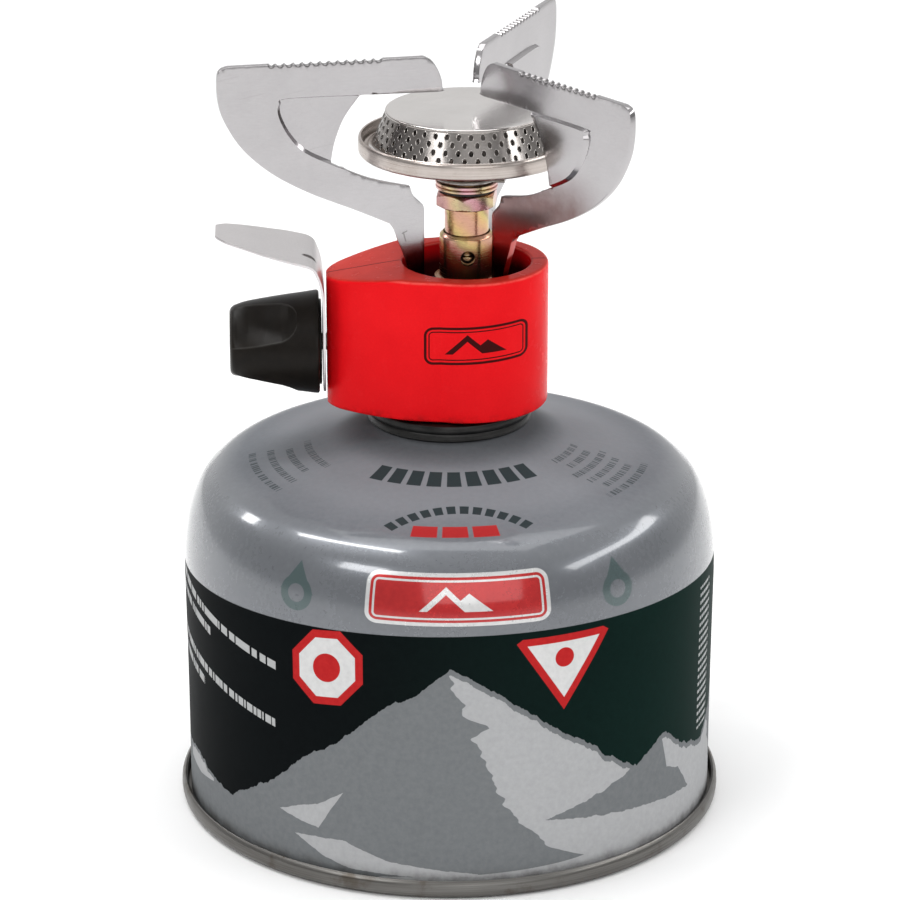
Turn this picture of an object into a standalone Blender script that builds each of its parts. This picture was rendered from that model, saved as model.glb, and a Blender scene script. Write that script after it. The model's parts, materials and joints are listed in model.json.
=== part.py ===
"""Screw-on canister stove: a single burner on a squat threaded gas canister.

Frame: origin on the canister's axis at the height it stands on, +Z up, the
control knob points to -X.  All lengths below are in millimetres and are
multiplied by MM where a mesh is made.
"""
import bpy
import bmesh
import math
from mathutils import Vector, Matrix

MM = 0.001
TAU = 2.0 * math.pi

# ------------------------------------------------------------ driving dimensions
R_SEAM = 55.2          # bottom double seam, outer radius
R_CAN = 53.6           # canister wall, outer radius at its widest
R_FOOT = 53.3          # the same at the seam
T_CAN = 0.6            # canister sheet
Z_SHOULDER = 50.0      # end of the wall
R_CRIMP = 16.4         # valve cup crimp ring
Z_CRIMP = 83.8         # top of the crimp ring
R_THREAD = 5.55        # 7/16 inch valve thread, outer radius
Z_SPIGOT = 88.5        # top of the threaded spigot
THREAD_PITCH = 0.907   # 28 threads to the inch

OX = 3.4               # burner column axis, in x
Z_CASE0 = 84.1         # housing underside
Z_CASE1 = 113.0        # housing top
R_CASE = 16.2          # housing round end
R_BORE = 12.7          # well in the top of the housing
CASE_LEFT = -27.8      # housing left end, from the column axis
CASE_WALL = 1.8
Z_KNOB = 96.3          # knob and spindle axis
KNOB_IN, KNOB_OUT = -25.9, -43.6
R_KNOB_HUB = 8.5

ARM_AZ = {"left": 189.0, "right": 306.0, "rear": 66.0}
ARM_T = 1.3            # pot support sheet
ARM_TOP = 154.8
ARM_REACH = 49.2
WEB_STEP = 0.9         # how far the web panel is pressed out of plane
TOOTH_PITCH = 1.75
TOOTH_N = 12
TOOTH_D = 0.45

R_RIM = 21.3           # burner dish rim
Z_RIM = 138.6
R_CAP_TOP = 15.7
Z_CAP = 143.8

# ------------------------------------------------------------ clean start
for _o in list(bpy.data.objects):
    bpy.data.objects.remove(_o, do_unlink=True)

_mats = {}


def material(name, rgb, rough, metal):
    if name in _mats:
        return _mats[name]
    m = bpy.data.materials.new(name)
    m.use_nodes = True
    b = m.node_tree.nodes["Principled BSDF"]
    b.inputs["Base Color"].default_value = (rgb[0], rgb[1], rgb[2], 1.0)
    b.inputs["Roughness"].default_value = rough
    b.inputs["Metallic"].default_value = metal
    m.diffuse_color = (rgb[0], rgb[1], rgb[2], 1.0)
    _mats[name] = m
    return m


M_PAINT = ("can_paint", (0.52, 0.53, 0.54), 0.28, 0.6)
M_TIN = ("tinplate", (0.62, 0.61, 0.58), 0.32, 1.0)
M_RED = ("red_housing", (0.72, 0.028, 0.022), 0.25, 0.0)
M_BLACK = ("black_knob", (0.012, 0.012, 0.013), 0.48, 0.0)
M_STEEL = ("stainless", (0.66, 0.65, 0.64), 0.30, 1.0)
M_BURN = ("burner_steel", (0.60, 0.58, 0.56), 0.22, 1.0)
M_BRASS = ("yellow_plate", (0.66, 0.47, 0.22), 0.28, 1.0)
M_RUBBER = ("rubber_seal", (0.015, 0.015, 0.015), 0.7, 0.0)
M_NYLON = ("white_plastic", (0.75, 0.74, 0.70), 0.5, 0.0)
M_DARK = ("dark_steel", (0.22, 0.21, 0.20), 0.4, 1.0)


def finish(name, bm, mat, smooth=True, angle=35.0):
    """Turn a bmesh in millimetres into a named object in metres."""
    bmesh.ops.remove_doubles(bm, verts=bm.verts, dist=1e-4)
    bmesh.ops.recalc_face_normals(bm, faces=bm.faces)
    bmesh.ops.scale(bm, vec=(MM, MM, MM), verts=bm.verts)
    me = bpy.data.meshes.new(name)
    bm.to_mesh(me)
    bm.free()
    me.materials.append(material(*mat))
    ob = bpy.data.objects.new(name, me)
    bpy.context.scene.collection.objects.link(ob)
    if smooth:
        me.shade_smooth()
        me.set_sharp_from_angle(angle=math.radians(angle))
    return ob


def set_origin(ob, point_mm, parent=None):
    """Put the object's origin on a point given in millimetres, world frame."""
    p = Vector(point_mm) * MM
    ob.data.transform(Matrix.Translation(-p))
    ob.location = p
    if parent is not None:
        ob.parent = parent
        ob.location = p - parent.location
    return ob


def turned(name, prof, mat, segs=40, cx=0.0, cy=0.0, axis="Z", closed=True, angle=35.0):
    """A body of revolution.  prof is [(radius, height), ...]: a closed loop, or
    an open line that starts and ends on the axis."""
    bm = bmesh.new()
    vs = [bm.verts.new((r, 0.0, z)) for r, z in prof]
    n = len(vs)
    on_axis = prof[0][0] < 1e-9 and prof[-1][0] < 1e-9
    es = [bm.edges.new((vs[i], vs[i + 1])) for i in range(n - 1)]
    if not on_axis:
        es.append(bm.edges.new((vs[-1], vs[0])))
    bmesh.ops.spin(bm, geom=vs + es, cent=(0, 0, 0), axis=(0, 0, 1), angle=TAU,
                   steps=segs, use_merge=True, use_duplicate=False)
    bmesh.ops.remove_doubles(bm, verts=bm.verts, dist=1e-4)
    if axis == "-X":     # height runs towards -X
        bmesh.ops.transform(bm, matrix=Matrix(((0, 0, -1, 0), (0, 1, 0, 0), (1, 0, 0, 0), (0, 0, 0, 1))), verts=bm.verts)
        bmesh.ops.translate(bm, vec=(0, 0, Z_KNOB), verts=bm.verts)
    else:
        bmesh.ops.translate(bm, vec=(cx, cy, 0), verts=bm.verts)
    return finish(name, bm, mat, angle=angle)


def extruded(name, outline, z0, z1, mat, smooth=True, cx=0.0):
    """A closed outline in x, y carried from z0 to z1."""
    bm = bmesh.new()
    f = bm.faces.new([bm.verts.new((x + cx, y, z0)) for x, y in outline])
    g = bmesh.ops.extrude_face_region(bm, geom=[f])
    bmesh.ops.translate(bm, vec=(0, 0, z1 - z0), verts=[v for v in g["geom"] if isinstance(v, bmesh.types.BMVert)])
    return finish(name, bm, mat, smooth)


def cutter(ob):
    ob.hide_render = True
    ob.display_type = "WIRE"
    return ob


def boolean(ob, other, op="DIFFERENCE"):
    m = ob.modifiers.new(op.lower() + "_" + other.name, "BOOLEAN")
    m.object = other
    m.operation = op
    m.solver = "EXACT"
    cutter(other)
    return ob


def circle(r, n, a0=0.0, cx=0.0, cy=0.0):
    return [(cx + r * math.cos(a0 + TAU * i / n), cy + r * math.sin(a0 + TAU * i / n)) for i in range(n)]


def smooth_line(pts, per=4):
    """Catmull-Rom curve through the points."""
    out = []
    n = len(pts)
    for i in range(n - 1):
        p0 = pts[max(i - 1, 0)]
        p1, p2 = pts[i], pts[i + 1]
        p3 = pts[min(i + 2, n - 1)]
        for k in range(per):
            t = k / per
            out.append(tuple(0.5 * (2 * b + (c - a) * t + (2 * a - 5 * b + 4 * c - d) * t * t
                                    + (3 * b - a - 3 * c + d) * t ** 3)
                             for a, b, c, d in zip(p0, p1, p2, p3)))
    out.append(tuple(pts[-1]))
    return out


def offset_line(pts, d):
    """The open line moved sideways by d, to the right of its direction."""
    out = []
    for i, p in enumerate(pts):
        a = pts[max(i - 1, 0)]
        b = pts[min(i + 1, len(pts) - 1)]
        tx, tz = b[0] - a[0], b[1] - a[1]
        L = math.hypot(tx, tz)
        out.append((p[0] + d * tz / L, p[1] - d * tx / L))
    return out


def torus(name, R, r, z, mat, cx=0.0, n=32, m=8):
    prof = [(R + r * math.cos(TAU * k / m), z + r * math.sin(TAU * k / m)) for k in range(m)]
    return turned(name, prof, mat, n, cx=cx)


def hexagon(rc, a0=0.0):
    return circle(rc, 6, a0)


# ------------------------------------------------------------ gas canister
def make_canister():
    # shell: straight wall, tight shoulder, gently crowned top, rolled neck bead
    key = [(R_CAN, Z_SHOULDER), (R_CAN - 0.3, 55.6), (R_CAN - 1.35, 61.4), (50.3, 66.2), (47.9, 68.9),
           (44.75, 70.9), (39.8, 72.3), (32.2, 74.1), (24.0, 76.4), (17.0, 79.2)]
    outer = [(R_FOOT, 1.3)] + key
    inner = offset_line(outer, -T_CAN)
    inner[0] = (R_FOOT - T_CAN, 1.3)
    inner[-1] = (outer[-1][0] - 0.15, outer[-1][1] - 0.62)
    keep = [inner[0]] + inner[1:-1:2] + [inner[-1]]
    bc, br = (14.4, 81.3), 1.15
    bead = [(bc[0] + br * math.cos(a), bc[1] + br * math.sin(a))
            for a in [math.radians(t) for t in (-35, 20, 75, 130, 185, 235)]]
    prof = outer + bead + keep[::-1]
    turned("canister_body", prof, M_PAINT, 48)

    base = [(0, 12.0), (20, 10.9), (36, 8.4), (50.2, 4.1), (51.6, 2.4), (52.0, 0.0),
            (54.8, 0.0), (R_SEAM, 0.5), (R_SEAM, 3.0), (54.6, 3.6), (54.0, 3.2), (54.0, 0.9),
            (52.4, 0.9), (52.4, 3.3), (50.8, 4.9), (36.1, 9.1), (20, 11.6), (0, 12.7)]
    turned("canister_base", base, M_TIN, 48)

    # valve cup: skirt and curl over the bead, inner wall, floor with a hole
    cup = [(15.85, 80.3), (R_CRIMP, 80.5), (R_CRIMP, 82.9), (15.9, Z_CRIMP - 0.15), (15.2, Z_CRIMP),
           (13.0, Z_CRIMP), (12.2, 83.4), (12.0, 78.4), (11.3, 77.6), (4.2, 77.6), (4.2, 77.0), (11.6, 77.0),
           (12.6, 78.0), (12.85, 83.2), (15.85, 83.2)]
    turned("valve_cup", cup, M_DARK, 40)
    turned("cup_gasket", [(13.5, 82.6), (15.2, 82.6), (15.2, 83.0), (13.5, 83.0)], M_RUBBER, 24)

    # the threaded spigot stands on the cup; the valve hangs below it
    turned("valve_spigot", [(3.6, 77.9), (7.2, 77.9), (7.2, 79.0), (5.0, 79.5), (5.0, 80.4),
                            (R_THREAD, 80.9), (R_THREAD, 87.9), (R_THREAD - 0.6, Z_SPIGOT), (1.8, Z_SPIGOT),
                            (1.8, 82.5), (3.6, 82.5)], M_TIN, 24)
    turned("stem_gasket", [(1.4, 80.8), (3.3, 80.8), (3.3, 82.2), (1.4, 82.2)], M_RUBBER, 18)
    turned("valve_stem", [(0, 74.6), (1.0, 74.6), (1.1, 74.9), (1.1, 78.9), (2.6, 78.9), (2.6, 80.4), (1.1, 80.4),
                          (1.1, 86.2), (0.8, 86.6), (0, 86.6)], M_BRASS, 14)
    turned("valve_housing", [(0.9, 67.8), (5.2, 67.8), (5.9, 68.6), (5.9, 76.7), (3.9, 76.7), (3.3, 76.2),
                             (3.3, 69.2), (0.9, 69.2)], M_NYLON, 22)
    # spring: a closed round wire, four and a half turns
    turns, steps, sides, wire, rc = 4.5, 10, 5, 0.3, 2.1
    z0, z1 = 69.9, 78.3
    bm = bmesh.new()
    rings = []
    total = int(turns * steps)
    for i in range(total + 1):
        t = i / total
        a = TAU * turns * t
        c = Vector((rc * math.cos(a), rc * math.sin(a), z0 + (z1 - z0) * t))
        er = Vector((math.cos(a), math.sin(a), 0))
        rings.append([bm.verts.new(c + wire * (er * math.cos(TAU * k / sides) + Vector((0, 0, 1)) * math.sin(TAU * k / sides)))
                      for k in range(sides)])
    for a, b in zip(rings, rings[1:]):
        for k in range(sides):
            bm.faces.new((a[k], a[(k + 1) % sides], b[(k + 1) % sides], b[k]))
    bm.faces.new(rings[0][::-1])
    bm.faces.new(rings[-1])
    finish("valve_spring", bm, M_STEEL)


# ------------------------------------------------------------ stove body and valve
def make_valve():
    # socket round the canister's thread, block above it, boss on the column axis
    body = turned("valve_body", [(0, 100.4), (8.2, 100.4), (8.2, 79.9), (7.8, 79.4), (5.95, 79.4), (5.95, 91.3),
                                 (0, 91.3)], M_BRASS, 32)
    boss = turned("cut_boss", [(0, 108.8), (5.9, 108.8), (5.9, 99.6), (0, 99.6)], M_BRASS, 28, cx=OX)
    boolean(body, boss, "UNION")
    arm = turned("cut_arm", [(0, 3.0), (4.4, 3.0), (4.4, 15.0), (0, 15.0)], M_BRASS, 24, axis="-X")
    boolean(body, arm, "UNION")
    # spindle bore with its seat, gas way up to the jet, way in from the socket
    bore = turned("cut_spindle_bore", [(0, -OX - 0.6), (0.6, -OX - 0.6), (0.6, 2.6), (2.3, 5.2), (2.3, 16.0), (0, 16.0)],
                  M_BRASS, 16, axis="-X")
    boolean(body, bore)
    up = turned("cut_jet_bore", [(0, 110.0), (3.2, 110.0), (3.2, 102.6), (0.8, 102.2), (0.8, 95.9), (0, 95.9)],
                M_BRASS, 16, cx=OX)
    boolean(body, up)
    inlet = turned("cut_inlet", [(0, 96.6), (0.7, 96.6), (0.7, 90.5), (0, 90.5)], M_BRASS, 12, cx=-4.3)
    boolean(body, inlet)
    pin_seat = turned("cut_pin_seat", [(0, 93.4), (1.9, 93.4), (1.9, 90.5), (0, 90.5)], M_BRASS, 16)
    boolean(body, pin_seat)

    turned("actuator_pin", [(0, 93.1), (1.6, 93.1), (1.6, 91.0), (1.0, 90.6), (1.0, 87.0), (0.8, 86.9), (0, 86.9)],
           M_STEEL, 14)
    turned("inlet_seal", [(2.4, 88.8), (4.9, 88.8), (5.2, 89.3), (5.2, 90.6), (4.9, 91.0), (2.4, 91.0)], M_RUBBER, 24)

    # spindle and its gland
    turned("needle_spindle", [(0, 3.6), (0.25, 3.6), (1.0, 6.4), (1.7, 6.9), (1.7, 11.0), (1.0, 11.2), (1.0, 12.8),
                              (1.7, 13.0), (1.7, 36.6), (1.25, 36.6), (1.25, 33.2), (0, 33.2)],
           M_STEEL, 14, axis="-X")
    prof = [(1.75 + 0.42 * math.cos(TAU * k / 6), 12.0 + 0.42 * math.sin(TAU * k / 6)) for k in range(6)]
    turned("spindle_o_ring", prof, M_RUBBER, 18, axis="-X")
    gland = extruded("gland_nut", hexagon(5.0, math.radians(30)), 15.3, 19.4, M_BRASS, smooth=False)
    gland.data.transform(Matrix(((0, 0, -1, 0), (0, 1, 0, 0), (1, 0, 0, Z_KNOB * MM), (0, 0, 0, 1))))
    gcut = turned("cut_gland", [(0, 14.0), (2.1, 14.0), (2.1, 21.0), (0, 21.0)], M_BRASS, 20, axis="-X")
    boolean(gland, gcut)


def make_column():
    # lower tube with flange, three cross holes for primary air
    tube = turned("burner_tube", [(0.8, 103.2), (2.8, 103.2), (2.9, 109.1), (6.4, 109.1), (6.4, 109.7), (6.1, 109.9),
                                  (5.35, 109.9), (5.35, 118.5), (4.8, 119.0), (4.65, 119.0), (4.65, 117.0),
                                  (3.9, 116.9), (3.9, 110.3), (0.8, 110.3)], M_BRASS, 26, cx=OX)
    for i, az in enumerate((270.0, 30.0, 150.0)):
        h = turned("cut_air_%d" % i, [(0, 3.0), (1.45, 3.0), (1.45, 7.5), (0, 7.5)], M_BRASS, 12)
        h.data.transform(Matrix.Translation((OX * MM, 0, 114.7 * MM)) @ Matrix.Rotation(math.radians(az), 4, "Z")
                         @ Matrix(((0, 0, 1, 0), (0, 1, 0, 0), (-1, 0, 0, 0), (0, 0, 0, 1))))
        boolean(tube, h)
    turned("gas_jet", [(0.35, 110.6), (2.6, 110.6), (2.6, 113.9), (2.1, 114.3), (2.1, 115.2), (1.2, 115.9),
                       (0.35, 115.9)], M_BRASS, 16, cx=OX)
    turned("mixing_tube", [(3.4, 117.3), (4.35, 117.3), (4.35, 130.8), (3.4, 130.8)], M_BRASS, 28, cx=OX)
    nut = extruded("column_nut", hexagon(6.45, math.radians(-100)), 124.3, 127.2, M_BRASS, smooth=False, cx=OX)
    boolean(nut, turned("cut_nut", [(0, 123), (4.65, 123), (4.65, 129), (0, 129)][::-1], M_BRASS, 28, cx=OX))
    torus("column_o_ring", 5.15, 0.28, 127.6, M_RUBBER, cx=OX, n=24, m=6)
    turned("burner_collar", [(4.65, 128.0), (6.15, 128.0), (6.15, 128.5), (5.75, 128.65), (6.15, 128.8),
                             (6.15, 129.35), (4.65, 129.35)], M_BRASS, 28, cx=OX)

    # spring clip round the neck, one end standing off to the right
    bm = bmesh.new()
    pts = []
    for k in range(19):
        a = math.radians(20 + 300 * k / 18)
        pts.append(Vector((OX + 6.0 * math.cos(a), 6.0 * math.sin(a), 130.15)))
    a = math.radians(320)
    d = Vector((-math.sin(a), math.cos(a), 0)) * 0.55 + Vector((math.cos(a), math.sin(a), 0)) * 0.85
    last = pts[-1]
    pts += [last + d * 1.3, last + d * 2.6]
    rings = []
    for i, p in enumerate(pts):
        t = (pts[min(i + 1, len(pts) - 1)] - pts[max(i - 1, 0)]).normalized()
        s = t.cross(Vector((0, 0, 1))).normalized()
        u = s.cross(t)
        rings.append([bm.verts.new(p + 0.32 * (s * math.cos(TAU * k / 6) + u * math.sin(TAU * k / 6))) for k in range(6)])
    for r0, r1 in zip(rings, rings[1:]):
        for k in range(6):
            bm.faces.new((r0[k], r0[(k + 1) % 6], r1[(k + 1) % 6], r1[k]))
    bm.faces.new(rings[0][::-1])
    bm.faces.new(rings[-1])
    finish("retaining_clip", bm, M_STEEL)

    # burner head: dish with a rolled rim, cap with its ports left plain
    turned("burner_dish", [(4.75, 129.65), (5.5, 129.65), (5.5, 131.2), (6.6, 132.0), (13.0, 133.5), (20.4, 135.0),
                           (21.05, 135.3), (R_RIM, 135.9), (R_RIM, Z_RIM - 0.4), (20.9, Z_RIM), (20.5, Z_RIM - 0.3),
                           (20.4, 136.4), (18.6, 135.7), (12.8, 134.3), (6.2, 132.9), (4.75, 132.2)],
           M_BURN, 40, cx=OX)
    cap = [(18.7, 136.2), (19.5, 136.45), (19.5, 136.9), (18.4, 137.2), (R_CAP_TOP + 0.25, 143.0),
           (R_CAP_TOP - 0.1, 143.6), (15.0, Z_CAP), (0, Z_CAP), (0, 143.2), (14.9, 143.1), (17.8, 136.9), (18.0, 136.3)]
    turned("burner_cap", cap, M_BURN, 40, cx=OX)


# ------------------------------------------------------------ housing
def case_outline(off=0.0, n=26):
    """Teardrop seen from above, about the column axis; off moves it inwards."""
    pts = []
    R = R_CASE - off
    a_t = math.radians(111.0)
    for i in range(n + 1):
        a = -a_t + 2 * a_t * i / n
        pts.append((R * math.cos(a), R * math.sin(a)))
    side = smooth_line([pts[-1], (-12.0, 14.0 - off), (-19.0, 10.9 - off), (-24.4, 7.3 - off), (-26.7, 4.9 - off),
                        (CASE_LEFT + off, 2.6 - off * 0.4)], 2)[1:]
    pts += side
    pts += [(x, -y) for x, y in side[::-1]]
    return pts


def case_half(name, sign):
    bm = bmesh.new()
    f = bm.faces.new([bm.verts.new((x + OX, y, Z_CASE0)) for x, y in case_outline()])
    g = bmesh.ops.extrude_face_region(bm, geom=[f])
    bmesh.ops.translate(bm, vec=(0, 0, Z_CASE1 - Z_CASE0), verts=[v for v in g["geom"] if isinstance(v, bmesh.types.BMVert)])
    # the top falls away towards the knob
    geom = bm.verts[:] + bm.edges[:] + bm.faces[:]
    r = bmesh.ops.bisect_plane(bm, geom=geom, plane_co=(OX - 13.5, 0, Z_CASE1), plane_no=Vector((-2.5, 0, 15.2)).normalized(),
                               clear_outer=True)
    ring = [e for e in r["geom_cut"] if isinstance(e, bmesh.types.BMEdge)]
    bmesh.ops.holes_fill(bm, edges=bm.edges[:], sides=0)
    # keep one side of the parting plane
    geom = bm.verts[:] + bm.edges[:] + bm.faces[:]
    bmesh.ops.bisect_plane(bm, geom=geom, plane_co=(0, 0.1 * sign, 0), plane_no=(0, -sign, 0), clear_outer=True)
    bmesh.ops.holes_fill(bm, edges=bm.edges[:], sides=0)
    # soften the outer top edge
    bmesh.ops.recalc_face_normals(bm, faces=bm.faces)
    top = [e for e in bm.edges if len(e.link_faces) == 2
           and any(fc.normal.z > 0.9 for fc in e.link_faces) and any(abs(fc.normal.z) < 0.2 and abs(fc.normal.y) != 1.0
                                                                    and not (abs(fc.normal.x) < 1e-3 and fc.normal.y * sign < -0.99)
                                                                    for fc in e.link_faces)]
    bmesh.ops.bevel(bm, geom=top, offset=0.7, segments=2, profile=0.5, affect="EDGES", clamp_overlap=True)
    ob = finish(name, bm, M_RED, angle=30)
    return ob


def make_housing():
    halves = [case_half("housing_front", -1), case_half("housing_rear", 1)]
    well = turned("cut_well", [(0, 120), (R_BORE, 120), (R_BORE, 99.2), (0, 99.2)], M_RED, 40, cx=OX)
    pocket = turned("cut_pocket", [(0, 102), (8.6, 102), (8.6, 80), (0, 80)], M_RED, 40)
    gland = turned("cut_gland_way", [(0, 0), (5.4, 0), (5.4, 20.0), (2.2, 20.2), (2.2, 32), (0, 32)], M_RED, 28, axis="-X")
    tail_line = [(x, y) for x, y in case_outline(CASE_WALL) if x < -11.0]
    ys = [p for p in tail_line if p[1] >= 0]
    xs = [p for p in tail_line if p[1] < 0]
    tail = extruded("cut_tail", [(-17.6, 9.2)] + [p for p in ys if p[0] < -17.7]
                    + [p for p in xs if p[0] < -17.7] + [(-17.6, -9.2)],
                    Z_CASE0 + 1.8, 108.6, M_RED, smooth=False, cx=OX)
    for h in halves:
        for c in (well, pocket, gland, tail):
            boolean(h, c)
    # two screws hold the halves together, their heads sunk in the rear half
    for nm, x, z in (("case_screw_right", 13.0, 91.5), ("case_screw_left", -11.4, 87.6)):
        turn = Matrix.Translation((x * MM, 0, z * MM)) @ Matrix.Rotation(math.radians(-90), 4, "X")
        way = turned("cut_" + nm, [(0, -7.5), (1.3, -7.5), (1.3, 9.6), (2.5, 9.6), (2.5, 20), (0, 20)], M_RED, 16)
        way.data.transform(turn)
        for h in halves:
            boolean(h, way)
        sc = turned(nm, [(0, -6.8), (0.5, -6.8), (1.0, -5.6), (1.0, 9.9), (2.2, 9.9), (2.2, 10.9), (1.7, 11.4), (0, 11.4)],
                    M_DARK, 16)
        sc.data.transform(turn)


# ------------------------------------------------------------ heat shield
def make_shield():
    st = [(-24.7, 87.6, 6.0), (-24.7, 90.0, 8.0), (-24.7, 96.3, 9.4), (-24.7, 104.5, 9.6), (-25.05, 109.5, 9.9),
          (-25.9, 112.8, 10.2), (-27.3, 114.9, 10.5), (-31.3, 116.1, 10.5), (-36.0, 117.2, 9.5), (-40.3, 118.3, 8.1),
          (-44.2, 119.2, 6.4), (-45.6, 119.55, 5.3), (-46.1, 119.65, 3.9)]
    bm = bmesh.new()
    cols = []
    for x, z, w in st:
        cols.append([bm.verts.new((x, w * s, z)) for s in (-1.0, -0.5, 0.0, 0.5, 1.0)])
    for a, b in zip(cols, cols[1:]):
        for k in range(4):
            bm.faces.new((a[k], a[k + 1], b[k + 1], b[k]))
    bmesh.ops.recalc_face_normals(bm, faces=bm.faces)
    t = 0.5
    g = bmesh.ops.extrude_face_region(bm, geom=bm.faces[:])
    moved = [v for v in g["geom"] if isinstance(v, bmesh.types.BMVert)]
    line = [(x, z) for x, z, _ in st]
    off = offset_line(line, -t)
    look = {(round(x, 4), round(z, 4)): o for (x, z), o in zip(line, off)}
    for v in moved:
        o = look[(round(v.co.x, 4), round(v.co.z, 4))]
        v.co.x, v.co.z = o[0], o[1]
    ob = finish("heat_shield", bm, M_STEEL)
    boolean(ob, turned("cut_shield", [(0, 22), (2.4, 22), (2.4, 30), (0, 30)], M_STEEL, 20, axis="-X"))
    return ob


# ------------------------------------------------------------ knob
def along(table, x):
    """Straight-line reading of a table of (x, value) pairs."""
    for (x0, y0), (x1, y1) in zip(table, table[1:]):
        if x <= x1:
            return y0 + (y1 - y0) * (x - x0) / (x1 - x0)
    return table[-1][1]


# from the base (0) to the free end (1): the round land, how wide and how deep the finger scoops are
KNOB_LAND = [(0.0, 9.95), (0.03, 10.3), (0.19, 9.9), (0.465, 9.25), (0.79, 8.3), (0.955, 7.4), (0.985, 7.0), (1.0, 6.4)]
KNOB_WIDE = [(0.0, 9.0), (0.26, 9.0), (0.29, 16.0), (0.34, 22.0), (0.42, 27.0), (1.0, 37.0)]
KNOB_DEEP = [(0.0, 0.0), (0.25, 0.0), (0.34, 0.95), (0.42, 1.25), (0.6, 1.35), (0.79, 1.2), (0.955, 0.7), (1.0, 0.5)]


def make_knob():
    """Tapered knob with three wide finger scoops a third of a turn apart."""
    L = KNOB_IN - KNOB_OUT
    bm = bmesh.new()
    rings = []
    for i, s in enumerate([None, -1.0, 0.0, 0.03, 0.19, 0.26, 0.3, 0.36, 0.465, 0.6, 0.79, 0.9, 0.955, 0.985, 1.0]):
        ring = []
        for c in (45.0, 165.0, 285.0):
            if s is None or s < 0:
                x, half, deep, land = (KNOB_IN + 0.45 if s is None else KNOB_IN), 9.0, 0.0, R_KNOB_HUB
            else:
                x, half, deep, land = KNOB_IN - L * s, along(KNOB_WIDE, s), along(KNOB_DEEP, s), along(KNOB_LAND, s)
            around = [(c + half * t, deep * (1 - t * t)) for t in (-1.0, -0.75, -0.5, -0.25, 0.0, 0.25, 0.5, 0.75, 1.0)]
            around += [(c + half + (120.0 - 2 * half) * t, 0.0) for t in (0.2, 0.4, 0.6, 0.8)]
            for deg, d in around:
                a = math.radians(deg)
                ring.append(bm.verts.new((x, -(land - d) * math.cos(a), Z_KNOB + (land - d) * math.sin(a))))
        rings.append(ring)
    n = len(rings[0])
    for r0, r1 in zip(rings, rings[1:]):
        for k in range(n):
            bm.faces.new((r0[k], r0[(k + 1) % n], r1[(k + 1) % n], r1[k]))
    bm.faces.new(rings[0][::-1])
    bm.faces.new(rings[-1])
    bmesh.ops.recalc_face_normals(bm, faces=bm.faces)
    knob = finish("control_knob", bm, M_BLACK)
    hole = turned("cut_knob", [(0, 25.0), (2.0, 25.0), (2.0, 38.0), (1.4, 38.3), (1.4, 40.7), (3.2, 40.9), (3.2, 46.0), (0, 46.0)],
                  M_BLACK, 24, axis="-X")
    boolean(knob, hole)
    turned("knob_screw", [(0, 33.7), (0.9, 33.7), (0.95, 34.0), (0.95, 41.15), (2.8, 41.15), (2.8, 42.2), (2.3, 42.6), (0, 42.6)],
           M_STEEL, 20, axis="-X")


# ------------------------------------------------------------ pot supports
def support_outline():
    """Outline of the C-shaped blade in (distance from the column axis, height)."""
    top = [(8.6, ARM_TOP), (16.6, ARM_TOP)]
    r = 17.2
    for k in range(TOOTH_N):
        top += [(r, ARM_TOP - TOOTH_D), (r + 0.75, ARM_TOP - TOOTH_D), (r + 1.15, ARM_TOP - 0.05)]
        r += TOOTH_PITCH
    top += [(r, ARM_TOP - TOOTH_D), (r + 0.5, ARM_TOP)]
    outer = smooth_line([(46.9, ARM_TOP), (48.5, 154.2), (ARM_REACH, 152.4), (49.1, 148.0), (47.9, 143.8), (44.5, 138.2),
                         (38.9, 133.0), (31.5, 128.6), (22.7, 124.7), (15.6, 121.4)], 2)
    leg = [(14.6, 119.3), (13.0, 115.2), (12.2, 112.6)]
    return top + outer + leg


def support_inner():
    """The throat side, from the foot of the leg back to the tip of the bar."""
    low = [(8.55, 112.6), (8.55, 124.6), (10.9, 127.0), (11.4, 128.8)]
    arm = smooth_line([(11.4, 128.8), (19.5, 130.9), (26.9, 134.3)], 2)[1:]
    web = smooth_line([(26.9, 134.3), (26.1, 138.4), (24.2, 143.2), (20.9, 147.7)], 2)[1:]
    tip = smooth_line([(20.9, 147.7), (6.0, 147.5), (4.9, 148.6), (5.5, 151.4), (6.9, 153.8), (8.6, ARM_TOP)], 2)[2:-1]
    return low + arm + web + tip


def web_panel():
    return smooth_line([(20.3, 147.2), (35.4, 147.7), (36.9, 146.6), (36.9, 144.4), (35.1, 140.5), (31.9, 137.0), (27.0, 134.6)], 2)


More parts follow.
